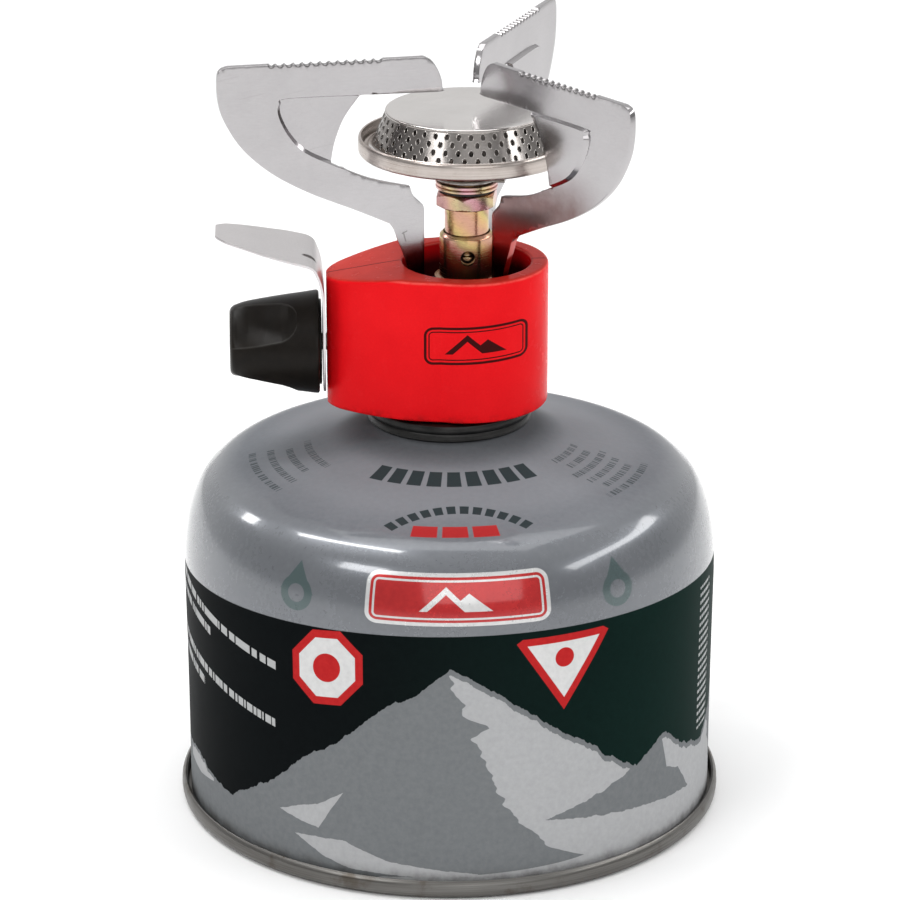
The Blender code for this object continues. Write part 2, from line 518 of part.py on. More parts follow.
def make_support(which, level):
    az = math.radians(ARM_AZ[which])
    z0 = 101.1 + 2.6 * level
    z1 = z0 + 2.3
    out = support_outline() + [(12.2, z0)] + [(7.4, z0), (7.4, z1), (8.55, z1)] + support_inner()
    # plate in the local frame: u outwards, w up, thickness about v
    def plate(name, pts, v0, v1):
        bm = bmesh.new()
        f = bm.faces.new([bm.verts.new((u, v0, w)) for u, w in pts])
        g = bmesh.ops.extrude_face_region(bm, geom=[f])
        bmesh.ops.translate(bm, vec=(0, v1 - v0, 0), verts=[v for v in g["geom"] if isinstance(v, bmesh.types.BMVert)])
        bmesh.ops.rotate(bm, cent=(0, 0, 0), matrix=Matrix.Rotation(az, 3, "Z"), verts=bm.verts)
        bmesh.ops.translate(bm, vec=(OX, 0, 0), verts=bm.verts)
        return finish(name, bm, M_STEEL, smooth=False)
    h = ARM_T / 2
    blade = plate("pot_support_" + which, out, -h, h)
    # the recess side of the web is cut back, the far side stands proud
    panel = web_panel()
    edge = smooth_line([(27.0, 134.6), (25.8, 138.4), (23.9, 143.0), (20.3, 147.2)], 2)[1:-1]
    cut = plate("cut_web_" + which, panel + [(24.0, 133.0), (17.0, 140.0), (17.5, 147.2)], h - WEB_STEP + 0.25, h + 1.0)
    boolean(blade, cut)
    pad = plate("cut_pad_" + which, panel + edge, -h - WEB_STEP + 0.25, h - WEB_STEP + 0.05)
    boolean(blade, pad, "UNION")
    ring = turned("swivel_ring_" + which, [(6.2, z0), (7.1, z0), (7.1, z1), (6.2, z1)], M_DARK, 32, cx=OX)
    for o in (blade, ring):
        set_origin(o, (OX, 0, 0))
    return blade, ring


make_canister()
make_valve()
make_column()
make_housing()
make_shield()
make_knob()
for _i, _w in enumerate(("left", "right", "rear")):
    make_support(_w, _i)
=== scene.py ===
import json
import math
import bpy
import bmesh
import numpy as np
from mathutils import Vector, Matrix, geometry


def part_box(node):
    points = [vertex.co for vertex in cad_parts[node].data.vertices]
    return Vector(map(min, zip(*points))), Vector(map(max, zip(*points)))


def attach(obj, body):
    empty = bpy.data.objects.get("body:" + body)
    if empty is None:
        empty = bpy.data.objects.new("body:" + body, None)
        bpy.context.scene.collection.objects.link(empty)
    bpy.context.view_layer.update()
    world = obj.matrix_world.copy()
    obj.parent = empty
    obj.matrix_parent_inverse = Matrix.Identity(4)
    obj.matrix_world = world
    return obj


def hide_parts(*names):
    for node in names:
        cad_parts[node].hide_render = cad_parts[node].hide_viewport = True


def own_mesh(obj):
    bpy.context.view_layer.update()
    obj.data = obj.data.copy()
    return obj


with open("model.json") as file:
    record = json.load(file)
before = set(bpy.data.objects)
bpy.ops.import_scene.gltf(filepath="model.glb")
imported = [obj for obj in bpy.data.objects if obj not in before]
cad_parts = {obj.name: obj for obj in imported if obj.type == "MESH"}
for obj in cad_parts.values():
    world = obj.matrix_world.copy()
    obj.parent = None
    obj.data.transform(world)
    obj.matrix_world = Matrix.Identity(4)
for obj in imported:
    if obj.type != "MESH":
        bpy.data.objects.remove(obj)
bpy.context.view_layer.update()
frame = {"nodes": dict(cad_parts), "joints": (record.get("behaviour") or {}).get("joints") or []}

TAU = 2.0 * math.pi
MM = 0.001
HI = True


def bx(node):
    lo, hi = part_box(node)
    return Vector(lo) / MM, Vector(hi) / MM


# ---------------------------------------------------------------- sizes, all read from the frame, in mm
_lo, _hi = bx("canister_base")
R_SEAM = (_hi.x - _lo.x) / 2
_lo, _hi = bx("canister_body")
R_CAN = (_hi.x - _lo.x) / 2
_lo, _hi = bx("burner_dish")
OX = (_lo.x + _hi.x) / 2
R_RIM = (_hi.x - _lo.x) / 2
Z_RIM = _hi.z
_lo, _hi = bx("burner_cap")
Z_CAP = _hi.z
_lo, _hi = bx("valve_cup")
R_CRIMP, Z_CRIMP = (_hi.x - _lo.x) / 2, _hi.z
_lo, _hi = bx("housing_front")
CASE_X0, CASE_X1, CASE_Z0, CASE_Z1 = _lo.x, _hi.x, _lo.z, _hi.z
R_CASE = CASE_X1 - OX
_lo, _hi = bx("control_knob")
KNOB_OUT, KNOB_IN = _lo.x, _hi.x
KNOB_X0 = KNOB_IN - 0.45      # the flared base starts behind a short hub
Z_KNOB = (_lo.z + _hi.z) / 2
_knob = [j for j in frame["joints"] if j["name"] == "knob_turn"][0]
Z_KNOB = _knob["pos_m"][2] / MM
_lo, _hi = bx("pot_support_left")
ARM_TOP = _hi.z
R_BORE = 12.7


# ---------------------------------------------------------------- mesh helpers
def obj_from(name, verts, faces, mats, angle=32.0, smooth=True, recalc=True, mat_index=None):
    me = bpy.data.meshes.new(name)
    me.from_pydata([(x * MM, y * MM, z * MM) for x, y, z in verts], [], faces)
    me.update()
    if recalc:
        bm = bmesh.new()
        bm.from_mesh(me)
        bmesh.ops.remove_doubles(bm, verts=bm.verts, dist=2e-7)
        bmesh.ops.dissolve_degenerate(bm, dist=1e-8, edges=bm.edges)
        bmesh.ops.recalc_face_normals(bm, faces=bm.faces)
        bm.to_mesh(me)
        bm.free()
    for m in mats:
        me.materials.append(m)
    if smooth:
        me.shade_smooth()
        me.set_sharp_from_angle(angle=math.radians(angle))
    ob = bpy.data.objects.new(name, me)
    bpy.context.scene.collection.objects.link(ob)
    return ob


def rounded(pts, r, n=3, closed=True):
    """Corners of a polyline cut back by r and turned into short arcs."""
    out = []
    N = len(pts)
    for i, p in enumerate(pts):
        if not closed and i in (0, N - 1):
            out.append(p)
            continue
        a, b = pts[i - 1], pts[(i + 1) % N]
        rr = r[i] if isinstance(r, (list, tuple)) else r
        va, vb = (a[0] - p[0], a[1] - p[1]), (b[0] - p[0], b[1] - p[1])
        la, lb = math.hypot(*va), math.hypot(*vb)
        if rr <= 0 or la < 1e-6 or lb < 1e-6:
            out.append(p)
            continue
        d = min(rr, 0.45 * la, 0.45 * lb)
        s = (p[0] + va[0] / la * d, p[1] + va[1] / la * d)
        e = (p[0] + vb[0] / lb * d, p[1] + vb[1] / lb * d)
        for k in range(n + 1):
            t = k / n
            out.append(((1 - t) ** 2 * s[0] + 2 * t * (1 - t) * p[0] + t * t * e[0],
                        (1 - t) ** 2 * s[1] + 2 * t * (1 - t) * p[1] + t * t * e[1]))
    return out


def smooth_line(pts, per=4):
    out = []
    n = len(pts)
    for i in range(n - 1):
        p0 = pts[max(i - 1, 0)]
        p1, p2 = pts[i], pts[i + 1]
        p3 = pts[min(i + 2, n - 1)]
        for k in range(per):
            t = k / per
            out.append(tuple(0.5 * (2 * b + (c - a) * t + (2 * a - 5 * b + 4 * c - d) * t * t
                                    + (3 * b - a - 3 * c + d) * t ** 3)
                             for a, b, c, d in zip(p0, p1, p2, p3)))
    out.append(tuple(pts[-1]))
    return out


def lathe_data(prof, segs, cx=0.0, cy=0.0, axis="Z", zc=0.0, a0=0.0, closed=True):
    """Verts and faces of a turned body.  prof is (radius, height)."""
    verts, faces, rows = [], [], []
    for r, z in prof:
        if r < 1e-7:
            verts.append((0.0, 0.0, z))
            rows.append([len(verts) - 1])
        else:
            row = []
            for k in range(segs):
                a = a0 + TAU * k / segs
                verts.append((r * math.cos(a), r * math.sin(a), z))
                row.append(len(verts) - 1)
            rows.append(row)
    n = len(rows)
    pairs = [(i, i + 1) for i in range(n - 1)]
    if closed and not (len(rows[0]) == 1 and len(rows[-1]) == 1):
        pairs.append((n - 1, 0))
    for i, j in pairs:
        A, B = rows[i], rows[j]
        if len(A) == 1 and len(B) == 1:
            continue
        for k in range(segs):
            k2 = (k + 1) % segs
            if len(A) == 1:
                faces.append((A[0], B[k2], B[k]))
            elif len(B) == 1:
                faces.append((A[k], A[k2], B[0]))
            else:
                faces.append((A[k], A[k2], B[k2], B[k]))
    if axis == "-X":
        verts = [(-z, y, x + zc) for x, y, z in verts]
    else:
        verts = [(x + cx, y + cy, z) for x, y, z in verts]
    return verts, faces


def lathe(name, prof, mats, segs=128, angle=32.0, **kw):
    v, f = lathe_data(prof, segs, **kw)
    return obj_from(name, v, f, mats, angle)


def place(ob, body, slot, *nodes):
    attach(ob, body)
    if nodes:
        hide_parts(*nodes)
    return ob


def boolean_now(ob, others, op="DIFFERENCE"):
    """Boolean with plain meshes, applied at once; the others are removed."""
    for o in others:
        m = ob.modifiers.new("b", "BOOLEAN")
        m.object = o
        m.operation = op
        m.solver = "EXACT"
    dg = bpy.context.evaluated_depsgraph_get()
    dg.update()
    me = bpy.data.meshes.new_from_object(ob.evaluated_get(dg))
    old = ob.data
    ob.modifiers.clear()
    ob.data = me
    me.name = old.name
    bpy.data.meshes.remove(old)
    for o in others:
        m = o.data
        bpy.data.objects.remove(o, do_unlink=True)
        bpy.data.meshes.remove(m)
    return ob


# ---------------------------------------------------------------- shader helpers
class N:
    """A socket with arithmetic, to write shader maths as plain expressions."""

    def __init__(self, t, s):
        self.t, self.s = t, s

    def m(self, op, *o, clamp=False):
        n = self.t.nodes.new("ShaderNodeMath")
        n.operation = op
        n.use_clamp = clamp
        self.t.links.new(self.s, n.inputs[0])
        for i, v in enumerate(o):
            if isinstance(v, N):
                self.t.links.new(v.s, n.inputs[i + 1])
            else:
                n.inputs[i + 1].default_value = float(v)
        return N(self.t, n.outputs[0])

    def __add__(self, o): return self.m("ADD", o)
    __radd__ = __add__
    def __sub__(self, o): return self.m("SUBTRACT", o)
    def __rsub__(self, o): return self.m("MULTIPLY", -1.0).m("ADD", o)
    def __mul__(self, o): return self.m("MULTIPLY", o)
    __rmul__ = __mul__
    def __truediv__(self, o): return self.m("DIVIDE", o)
    def abs(self): return self.m("ABSOLUTE")
    def gt(self, o): return self.m("GREATER_THAN", o)
    def lt(self, o): return self.m("LESS_THAN", o)
    def max(self, o): return self.m("MAXIMUM", o)
    def min(self, o): return self.m("MINIMUM", o)
    def sat(self): return self.m("ADD", 0.0, clamp=True)

    def step(self, lo, hi):
        """0 below lo, 1 above hi, smooth between."""
        n = self.t.nodes.new("ShaderNodeMapRange")
        n.interpolation_type = "SMOOTHSTEP"
        self.t.links.new(self.s, n.inputs["Value"])
        n.inputs["From Min"].default_value = lo
        n.inputs["From Max"].default_value = hi
        return N(self.t, n.outputs["Result"])

    def span(self, lo, hi, a, b):
        n = self.t.nodes.new("ShaderNodeMapRange")
        self.t.links.new(self.s, n.inputs["Value"])
        n.inputs["From Min"].default_value = lo
        n.inputs["From Max"].default_value = hi
        n.inputs["To Min"].default_value = a
        n.inputs["To Max"].default_value = b
        return N(self.t, n.outputs["Result"])


class Mat:
    def __init__(self, name, rgb, rough, metal, **kw):
        m = bpy.data.materials.new(name)
        m.use_nodes = True
        self.m, self.t = m, m.node_tree
        self.b = self.t.nodes["Principled BSDF"]
        self.b.inputs["Base Color"].default_value = (*rgb, 1.0)
        self.b.inputs["Roughness"].default_value = rough
        self.b.inputs["Metallic"].default_value = metal
        for k, v in kw.items():
            self.b.inputs[k.replace("_", " ")].default_value = v
        m.diffuse_color = (*rgb, 1.0)
        tc = self.t.nodes.new("ShaderNodeTexCoord")
        self.tc = tc
        sep = self.t.nodes.new("ShaderNodeSeparateXYZ")
        self.t.links.new(tc.outputs["Object"], sep.inputs[0])
        self.x = N(self.t, sep.outputs[0]) * 1000.0
        self.y = N(self.t, sep.outputs[1]) * 1000.0
        self.z = N(self.t, sep.outputs[2]) * 1000.0
        self.pos = tc.outputs["Object"]
        self.heights = []

    def polar(self, cx=0.0, cy=0.0):
        """angle in degrees and radius in mm round a vertical axis."""
        dx, dy = self.x - cx, self.y - cy
        ang = dy.m("ARCTAN2", dx) * (180.0 / math.pi)
        rad = (dx * dx + dy * dy).m("SQRT")
        return ang, rad

    def vec(self, x, y, z):
        n = self.t.nodes.new("ShaderNodeCombineXYZ")
        for i, v in enumerate((x, y, z)):
            if isinstance(v, N):
                self.t.links.new(v.s, n.inputs[i])
            else:
                n.inputs[i].default_value = float(v)
        return n.outputs[0]

    def noise(self, scale, detail=3.0, rough=0.5, vec=None, dist=0.0):
        """vec is in mm when given; the plain object position otherwise."""
        n = self.t.nodes.new("ShaderNodeTexNoise")
        n.inputs["Scale"].default_value = scale * (1000.0 if vec is None else 1.0)
        n.inputs["Detail"].default_value = detail
        n.inputs["Roughness"].default_value = rough
        n.inputs["Distortion"].default_value = dist
        self.t.links.new(vec if vec is not None else self.pos, n.inputs["Vector"])
        return N(self.t, n.outputs["Fac"])

    def noise1(self, w, scale, detail=3.0, rough=0.6):
        n = self.t.nodes.new("ShaderNodeTexNoise")
        n.noise_dimensions = "1D"
        n.inputs["Scale"].default_value = scale
        n.inputs["Detail"].default_value = detail
        n.inputs["Roughness"].default_value = rough
        self.t.links.new(w.s, n.inputs["W"])
        return N(self.t, n.outputs["Fac"])

    def voronoi(self, scale, feature="F1", vec=None):
        n = self.t.nodes.new("ShaderNodeTexVoronoi")
        n.feature = feature
        n.inputs["Scale"].default_value = scale * (1000.0 if vec is None else 1.0)
        self.t.links.new(vec if vec is not None else self.pos, n.inputs["Vector"])
        return N(self.t, n.outputs["Distance"])

    def ramp(self, fac, stops, interp="LINEAR"):
        n = self.t.nodes.new("ShaderNodeValToRGB")
        n.color_ramp.interpolation = interp
        e = n.color_ramp.elements
        while len(e) < len(stops):
            e.new(0.5)
        for i, (p, c) in enumerate(stops):
            e[i].position = p
            e[i].color = (*c, 1.0)
        self.t.links.new(fac.s, n.inputs["Fac"])
        return n.outputs["Color"]

    def curve(self, fac, stops, lo=0.0, hi=60.0):
        """Straight-line reading of (x, value) stops, value between lo and hi."""
        x0, x1 = stops[0][0], stops[-1][0]
        c = self.ramp(fac.span(x0, x1, 0.0, 1.0), [((x - x0) / (x1 - x0), ((v - lo) / (hi - lo),) * 3) for x, v in stops])
        n = self.t.nodes.new("ShaderNodeSeparateColor")
        self.t.links.new(c, n.inputs[0])
        return N(self.t, n.outputs[0]) * (hi - lo) + lo

    def up(self):
        """How much the surface faces upwards."""
        g = self.t.nodes.new("ShaderNodeNewGeometry")
        n = self.t.nodes.new("ShaderNodeSeparateXYZ")
        self.t.links.new(g.outputs["True Normal"], n.inputs[0])
        return N(self.t, n.outputs[2])

    def mix(self, fac, a, b, blend="MIX"):
        n = self.t.nodes.new("ShaderNodeMix")
        n.data_type = "RGBA"
        n.blend_type = blend
        if isinstance(fac, N):
            self.t.links.new(fac.s, n.inputs[0])
        else:
            n.inputs[0].default_value = fac
        for i, v in ((6, a), (7, b)):
            if isinstance(v, (tuple, list)):
                n.inputs[i].default_value = (*v, 1.0)
            else:
                self.t.links.new(v, n.inputs[i])
        return n.outputs[2]

    def color(self, c):
        self.t.links.new(c, self.b.inputs["Base Color"])

    def rough(self, n, lo=0.0, hi=1.0):
        self.t.links.new(n.span(0.0, 1.0, lo, hi).s, self.b.inputs["Roughness"])

    def put(self, socket, n):
        self.t.links.new(n.s, self.b.inputs[socket])

    def bump(self, height, strength=0.3, dist_mm=0.05):
        n = self.t.nodes.new("ShaderNodeBump")
        n.inputs["Strength"].default_value = strength
        n.inputs["Distance"].default_value = dist_mm * MM
        self.t.links.new(height.s, n.inputs["Height"])
        prev = getattr(self, "_bump", None)
        if prev is not None:
            self.t.links.new(prev, n.inputs["Normal"])
        self._bump = n.outputs["Normal"]
        self.t.links.new(self._bump, self.b.inputs["Normal"])
        return self


# ---------------------------------------------------------------- materials
def mat_canister():
    """Silver paint; dark green band with a plain mountain range of two greys."""
    q = Mat("canister_print", (0.23, 0.235, 0.245), 0.3, 0.12)
    ang, rad = q.polar()
    s = ang + 92.6
    s = s + s.lt(-180.0) * 360.0 - s.gt(180.0) * 360.0
    # band edge, a little out of level
    edge = (ang + 79.0).m("MULTIPLY", math.pi / 180.0).m("COSINE") * 2.75 + 52.0
    band = (edge - q.z).step(-0.06, 0.06)
    wob = (q.noise1(s, 0.42, 3.0, 0.55) - 0.5) * 1.7
    wob2 = (q.noise1(q.z, 0.38, 1.3, 0.5) - 0.5) * 3.4
    ridge = q.curve(s, [(-180, 31), (-166, 22), (-150, 26), (-130, 37), (-112, 27), (-98, 20), (-84, 13), (-72, 14.5), (-64, 12.6),
                        (-55, 11), (-41, 18.5), (-32, 26), (-24, 30.5), (-17, 36.5), (-12, 40.4), (-8, 41.4), (0, 48), (5, 45.6),
                        (10, 42.6), (17.5, 37.4), (25, 32.2), (30, 29.8), (35, 25.6), (43.5, 21), (53, 25.8), (59, 21), (71, 17),
                        (86, 25), (106, 37), (130, 22), (152, 24), (180, 31)]) + wob
    rock = (ridge - q.z).step(-0.05, 0.05)
    # sunlit side of the main peak, with a rim of shade along its ridge
    side = q.curve(q.z, [(0, -26), (3.4, -14), (4.2, 4), (4.8, 22), (5.3, 30), (8.4, 22), (12.4, 17.7), (18.5, 11.6), (25, 8.8),
                         (33.5, 5.2), (35.4, 7.4), (39, 2.8), (45.8, 0.4), (60, -1)], -30.0, 40.0) + wob2
    lit = (s - side).step(-0.12, 0.12) * (ridge - 1.2 - q.z + wob2 * 0.15).step(-0.06, 0.06) * (q.z * -0.55 + wob2 * 1.6 - s + 88.0).step(-0.1, 0.1)
    f_hi = q.curve(s, [(20, 14.4), (34, 18), (41, 20.4), (44, 22.4), (50, 25.6), (52, 24), (54, 17.5), (59, 15.4), (64, 9.6)]) + wob * 0.6
    f_lo = q.curve(s, [(20, 14.6), (35, 12.8), (48, 11.4), (56, 10.4), (64, 9.8)]) + wob * 0.5
    flank = (f_hi - q.z).step(-0.05, 0.05) * (q.z - f_lo).step(-0.05, 0.05) * (s - 20.5).gt(0.0) * (s - 63.8).lt(0.0)
    lit = lit * (1.0 - flank)
    # snow patches low on the shaded side
    for hi_c, lo_c in (([(-39, 13.2), (-33, 15.4), (-29, 16.4), (-22.5, 20.2)], [(-39, 13.4), (-33, 12), (-28.7, 11.4), (-26, 15.5), (-22.5, 20.4)]),
                       ([(-35, 9), (-23, 9.8), (-13, 6.6), (6, 4.4)], [(-35, 9.2), (-28, 5.8), (-22, 4.1), (6, 3.2)])):
        a = (q.curve(s, hi_c) + wob * 0.35 - q.z).step(-0.05, 0.05) * (q.z - q.curve(s, lo_c) - wob * 0.3).step(-0.05, 0.05)
        lit = lit.max(a * (s - hi_c[0][0]).gt(0.0) * (s - hi_c[-1][0]).lt(0.0))
    lft = (ridge - 0.8 - q.z).step(-0.05, 0.05) * (q.z - q.curve(s, [(-84, 11), (-70, 10), (-60, 11.4)])).step(-0.05, 0.05) * (s + 62.5).lt(0.0) * (s + 79.0).gt(0.0)
    lit = lit.max(lft)
    # the peaks round the back
    for c, h, w in ((-130.0, 37.0, 26.0), (106.0, 37.0, 30.0), (178.0, 33.0, 26.0)):
        d = s - c
        on = (d - (q.z * -1.0 + h) * 0.35 - wob2 * 1.5).step(-0.12, 0.12) * (d - w - 6.0).lt(0.0) * (ridge - 1.2 - q.z).step(-0.06, 0.06) * (q.z - 11.0 - d * ((h - 17.0) / w) + wob2 * 0.8).step(-0.1, 0.1)
        lit = lit.max(on)
    paper = q.noise(0.9, 4.0, 0.6)
    mottle = q.noise(0.035, 3.0, 0.5)
    silver = q.ramp(mottle * 0.5 + paper * 0.5, [(0.3, (0.138, 0.147, 0.162)), (0.7, (0.176, 0.186, 0.202))])
    # painted light: the green band is painted greener round its lit side and near black round its shaded side
    band_painted_light = s.step(-35.0, 75.0) * (1.0 - s.step(105.0, 178.0))
    g0 = q.ramp(mottle * 0.4 + paper * 0.6, [(0.3, (0.0016, 0.0026, 0.0030)), (0.7, (0.0030, 0.0046, 0.0050))])
    g1 = q.ramp(mottle * 0.4 + paper * 0.6, [(0.3, (0.0020, 0.0135, 0.0105)), (0.7, (0.0035, 0.0190, 0.0150))])
    green = q.mix(band_painted_light, g0, g1)
    g_dark = q.ramp(paper, [(0.3, (0.160, 0.170, 0.177)), (0.7, (0.188, 0.198, 0.205))])
    g_light = q.ramp(paper, [(0.3, (0.385, 0.390, 0.398)), (0.7, (0.435, 0.440, 0.448))])
    art = q.mix(rock, green, q.mix(lit, g_dark, g_light))
    # two plain signs, an eight-sided one and a three-cornered one, with thick red borders
    white = q.ramp(paper, [(0.3, (0.60, 0.60, 0.60)), (0.7, (0.68, 0.68, 0.675))])
    redp = q.ramp(paper, [(0.3, (0.42, 0.016, 0.018)), (0.7, (0.49, 0.022, 0.022))])
    on_wall = (rad - 52.0).gt(0.0)
    ou, ov = ((s + 26.2) * 0.95).abs(), (q.z - 46.0 - (s + 26.2) * 0.10).abs()
    od = ou.max(ov).max((ou + ov) * 0.72)
    art = q.mix((7.75 - od).step(-0.05, 0.05) * on_wall, art, redp)
    art = q.mix((6.15 - od).step(-0.05, 0.05) * on_wall, art, white)
    art = q.mix((3.0 - (ou * ou + ov * ov).m("SQRT")).step(-0.05, 0.05) * on_wall, art, redp)
    tu = ((s - 24.4) * 0.95).abs()
    td = (tu * 0.832 - (q.z - 37.6) * 0.557).max(q.z - 53.3).max((tu * 0.55 + q.z * 0.835 - 49.3))
    art = q.mix((td * -1.0).step(-0.05, 0.05) * on_wall, art, redp)
    art = q.mix((td * -1.0 - 1.45).step(-0.05, 0.05) * on_wall, art, white)
    tz = q.z - 48.6
    art = q.mix((2.0 - (tu * tu + tz * tz).m("SQRT")).step(-0.05, 0.05) * on_wall, art, redp)
    # plain rows of short bars where small print would stand
    bars = None
    for z0, sl, a0, a1 in ((47.0, -0.16, -84.0, -39.0), (43.6, -0.16, -86.0, -62.0), (34.4, -0.15, -84.0, -39.5), (31.0, -0.15, -86.0, -66.0)):
        bar = (0.85 - (q.z - z0 - (s + 60.0) * sl).abs()).step(-0.05, 0.05) * (s - a0).gt(0.0) * (s - a1).lt(0.0)
        bar = bar * (q.noise1(s + z0 * 7.0, 0.9, 1.0) - 0.42).step(-0.01, 0.01)
        bars = bar if bars is None else bars.max(bar)
    rowz = (q.z * 0.62).m("FRACT")
    col_r = (0.22 - (rowz - 0.5).abs()).step(-0.03, 0.03) * (s - 68.5).gt(0.0) * (s - 76.0).lt(0.0) * (q.z - 20.0).gt(0.0) * (q.z - 51.0).lt(0.0)
    col_r = col_r * (q.noise1(s + q.z * 0.02, 1.6, 1.0) - 0.42).step(-0.01, 0.01)
    bars = bars.max(col_r)
    art = q.mix(bars * 0.85 * on_wall, art, (0.50, 0.51, 0.51))
    col = q.mix(band, silver, art)
    # plain badge on the shoulder: a red lozenge with a pale border and two peaks, and two drops beside it
    u = s * 0.86 - 1.6
    v = q.z - 61.6
    sd = ((u.abs() - 14.6).max(0.0).m("POWER", 2.0) + ((v * 1.08).abs() - 2.9).max(0.0).m("POWER", 2.0)).m("SQRT") - 1.6
    on_body = (58.0 - rad).gt(0.0) * (rad - 40.0).gt(0.0)
    pale = (0.75 - sd).step(-0.06, 0.06) * on_body
    red = (sd * -1.0).step(-0.06, 0.06) * on_body
    line = (0.2 - (sd + 0.75).abs()).step(-0.05, 0.05) * on_body
    pk = ((2.5 - (u + 2.2).abs() * 0.95) - v).step(-0.06, 0.06) + ((1.3 - (u - 2.0).abs() * 0.8) - v).step(-0.06, 0.06)
    pk = pk.sat() * (v + 2.1).step(-0.06, 0.06) * (1.0 - ((1.1 - (u + 2.2).abs() * 0.95) - v).step(-0.06, 0.06))
    col = q.mix(pale, col, white)
    col = q.mix(red, col, redp)
    col = q.mix((line + pk * red).sat(), col, white)
    for side_ in (-1.0, 1.0):
        du = (s - 2.0) * 0.86 - side_ * 31.0
        dv = q.z - 61.0
        ball = (3.4 - (du * du + (dv + 1.2) * (dv + 1.2)).m("SQRT"))
        tip = (2.95 - du.abs() * 1.0 - (dv + 1.2 - 1.3) * 0.62).min(dv + 1.0)
        drop = ball.max(tip).step(-0.06, 0.06) * on_body
        hole = (1.75 - (du * du + (dv + 1.2) * (dv + 1.2)).m("SQRT")).step(-0.06, 0.06)
        col = q.mix(drop * (1.0 - hole), col, (0.075, 0.110, 0.112))
    on_top = (q.z - 64.0).gt(0.0)
    def blocks(r_, a_, r0, hw_, a0, a1, per, fill=0.37):
        """A row of small plain printed blocks along an arc."""
        b_ = (hw_ - (r_ - r0).abs()).step(-0.06, 0.06) * (a_ - a0).gt(0.0) * (a_ - a1).lt(0.0)
        ph = ((a_ - a0) * (1.0 / per)).m("FRACT") - 0.5
        return b_ * (fill - ph.abs()).step(-0.02, 0.02)
    ink = blocks(rad, s, 25.3, 2.2, -36.0, 40.0, 8.444, 0.36)
    ang2, rad2 = q.polar(0.0, -57.2)
    ink = ink.max(blocks(rad2, ang2, 22.2, 1.25, 51.0, 129.0, 6.5, 0.34))
    for c0, wd0, rr in ((-73.0, 14.0, (28.5, 32.2, 35.9, 39.6)), (66.0, 12.0, (25.5, 28.3, 31.1, 33.9, 36.7, 39.5))):
        for i_, r0 in enumerate(rr):
            wd = wd0 + 2.5 * math.sin(i_ * 2.1 + c0)
            blk = (0.72 - (rad - r0).abs()).step(-0.06, 0.06) * (wd - (s - c0).abs()).gt(0.0) * (q.noise1(s + r0 * 9.0, 0.9, 1.0) - 0.44).step(-0.01, 0.01)
            blk = blk * (1.0 - ((s * 0.7).m("FRACT") - 0.5).abs().lt(0.14))
            ink = ink.max(blk * 0.7)
    col = q.mix(ink * on_top * 0.92, col, (0.018, 0.028, 0.030))
    col = q.mix(blocks(rad, s, 42.2, 1.7, -10.5, 13.5, 8.0, 0.42) * on_top * 0.95, col, (0.36, 0.018, 0.018))
    # rubbed and dusty near the seam
    grime = (4.6 - q.z).step(-1.2, 1.6) * q.noise(0.25, 4.0, 0.65).step(0.35, 0.7)
    col = q.mix(grime * 0.5, col, (0.060, 0.052, 0.042))
    # the flat of the dome is painted paler as painted light, the wall under the shoulder a little duller, and a painted
    # shadow darkens the dome round the neck under the crimp
    flat = (rad - 19.0).step(0.0, 5.0) * (rad * -1.0 + 42.0).step(0.0, 9.0) * on_top * (1.0 - ink * on_top)
    col = q.mix(flat * 0.30, col, (0.28, 0.295, 0.315))
    col = q.mix((rad - 43.0).step(0.0, 8.0) * 0.08, col, (0.02, 0.02, 0.022))
    neck_painted_shadow = (rad * -1.0 + 25.0).step(0.0, 9.0)
    col = q.mix(neck_painted_shadow * 0.6, col, (0.035, 0.035, 0.037))
    q.color(col)
    gloss = (rad - 41.0).step(0.0, 7.0) * (1.0 - band)
    q.rough((q.noise(0.05, 3.0, 0.55) * 0.5 + paper * 0.3) * (1.0 - gloss * 0.7) + band * 0.45, 0.24, 0.52)
    q.put("Metallic", gloss * 0.40)
    q.b.inputs["Specular IOR Level"].default_value = 0.012
    q.put("Coat Weight", gloss)
    q.b.inputs["Coat Roughness"].default_value = 0.09
    q.bump(q.noise(1.6, 3.0, 0.6), 0.10, 0.02)
    q.bump(q.noise(0.045, 2.0, 0.5), 0.14, 0.5)
    return q.m


def mat_tin(name="tin_seam", dark=1.0):
    q = Mat(name, (0.42 * dark, 0.40 * dark, 0.37 * dark), 0.34, 1.0)
    ang, rad = q.polar()
    streak = q.noise(0.6, 4.0, 0.6, q.vec(ang * 0.06, rad * 5.0, q.z * 5.0))
    stain = q.noise(0.16, 5.0, 0.62)
    col = q.ramp(streak, [(0.25, (0.27 * dark, 0.255 * dark, 0.235 * dark)), (0.55, (0.47 * dark, 0.455 * dark, 0.43 * dark)),
                          (0.8, (0.62 * dark, 0.61 * dark, 0.59 * dark))])
    col = q.mix(stain.step(0.52, 0.7) * 0.6, col, (0.20 * dark, 0.15 * dark, 0.105 * dark))
    q.color(col)
    q.rough(streak * 0.5 + stain * 0.5, 0.22, 0.52)
    q.bump(streak, 0.25, 0.03)
    return q.m


def mat_cup_painted_shade():
    q = Mat("valve_cup_painted_shade_steel", (0.16, 0.155, 0.15), 0.36, 1.0)
    ang, rad = q.polar()
    turn = q.noise(0.8, 4.0, 0.6, q.vec(ang * 0.03, rad * 6.0, q.z * 6.0))
    dark_mottle = q.noise(0.3, 4.0, 0.6)
    # painted shade: the cup is nearly black steel, standing in for the shade under the housing
    q.color(q.ramp(turn * 0.6 + dark_mottle * 0.4, [(0.3, (0.016, 0.016, 0.016)), (0.7, (0.050, 0.049, 0.048))]))
    q.rough(turn, 0.28, 0.5)
    q.bump(turn, 0.2, 0.03)
    return q.m


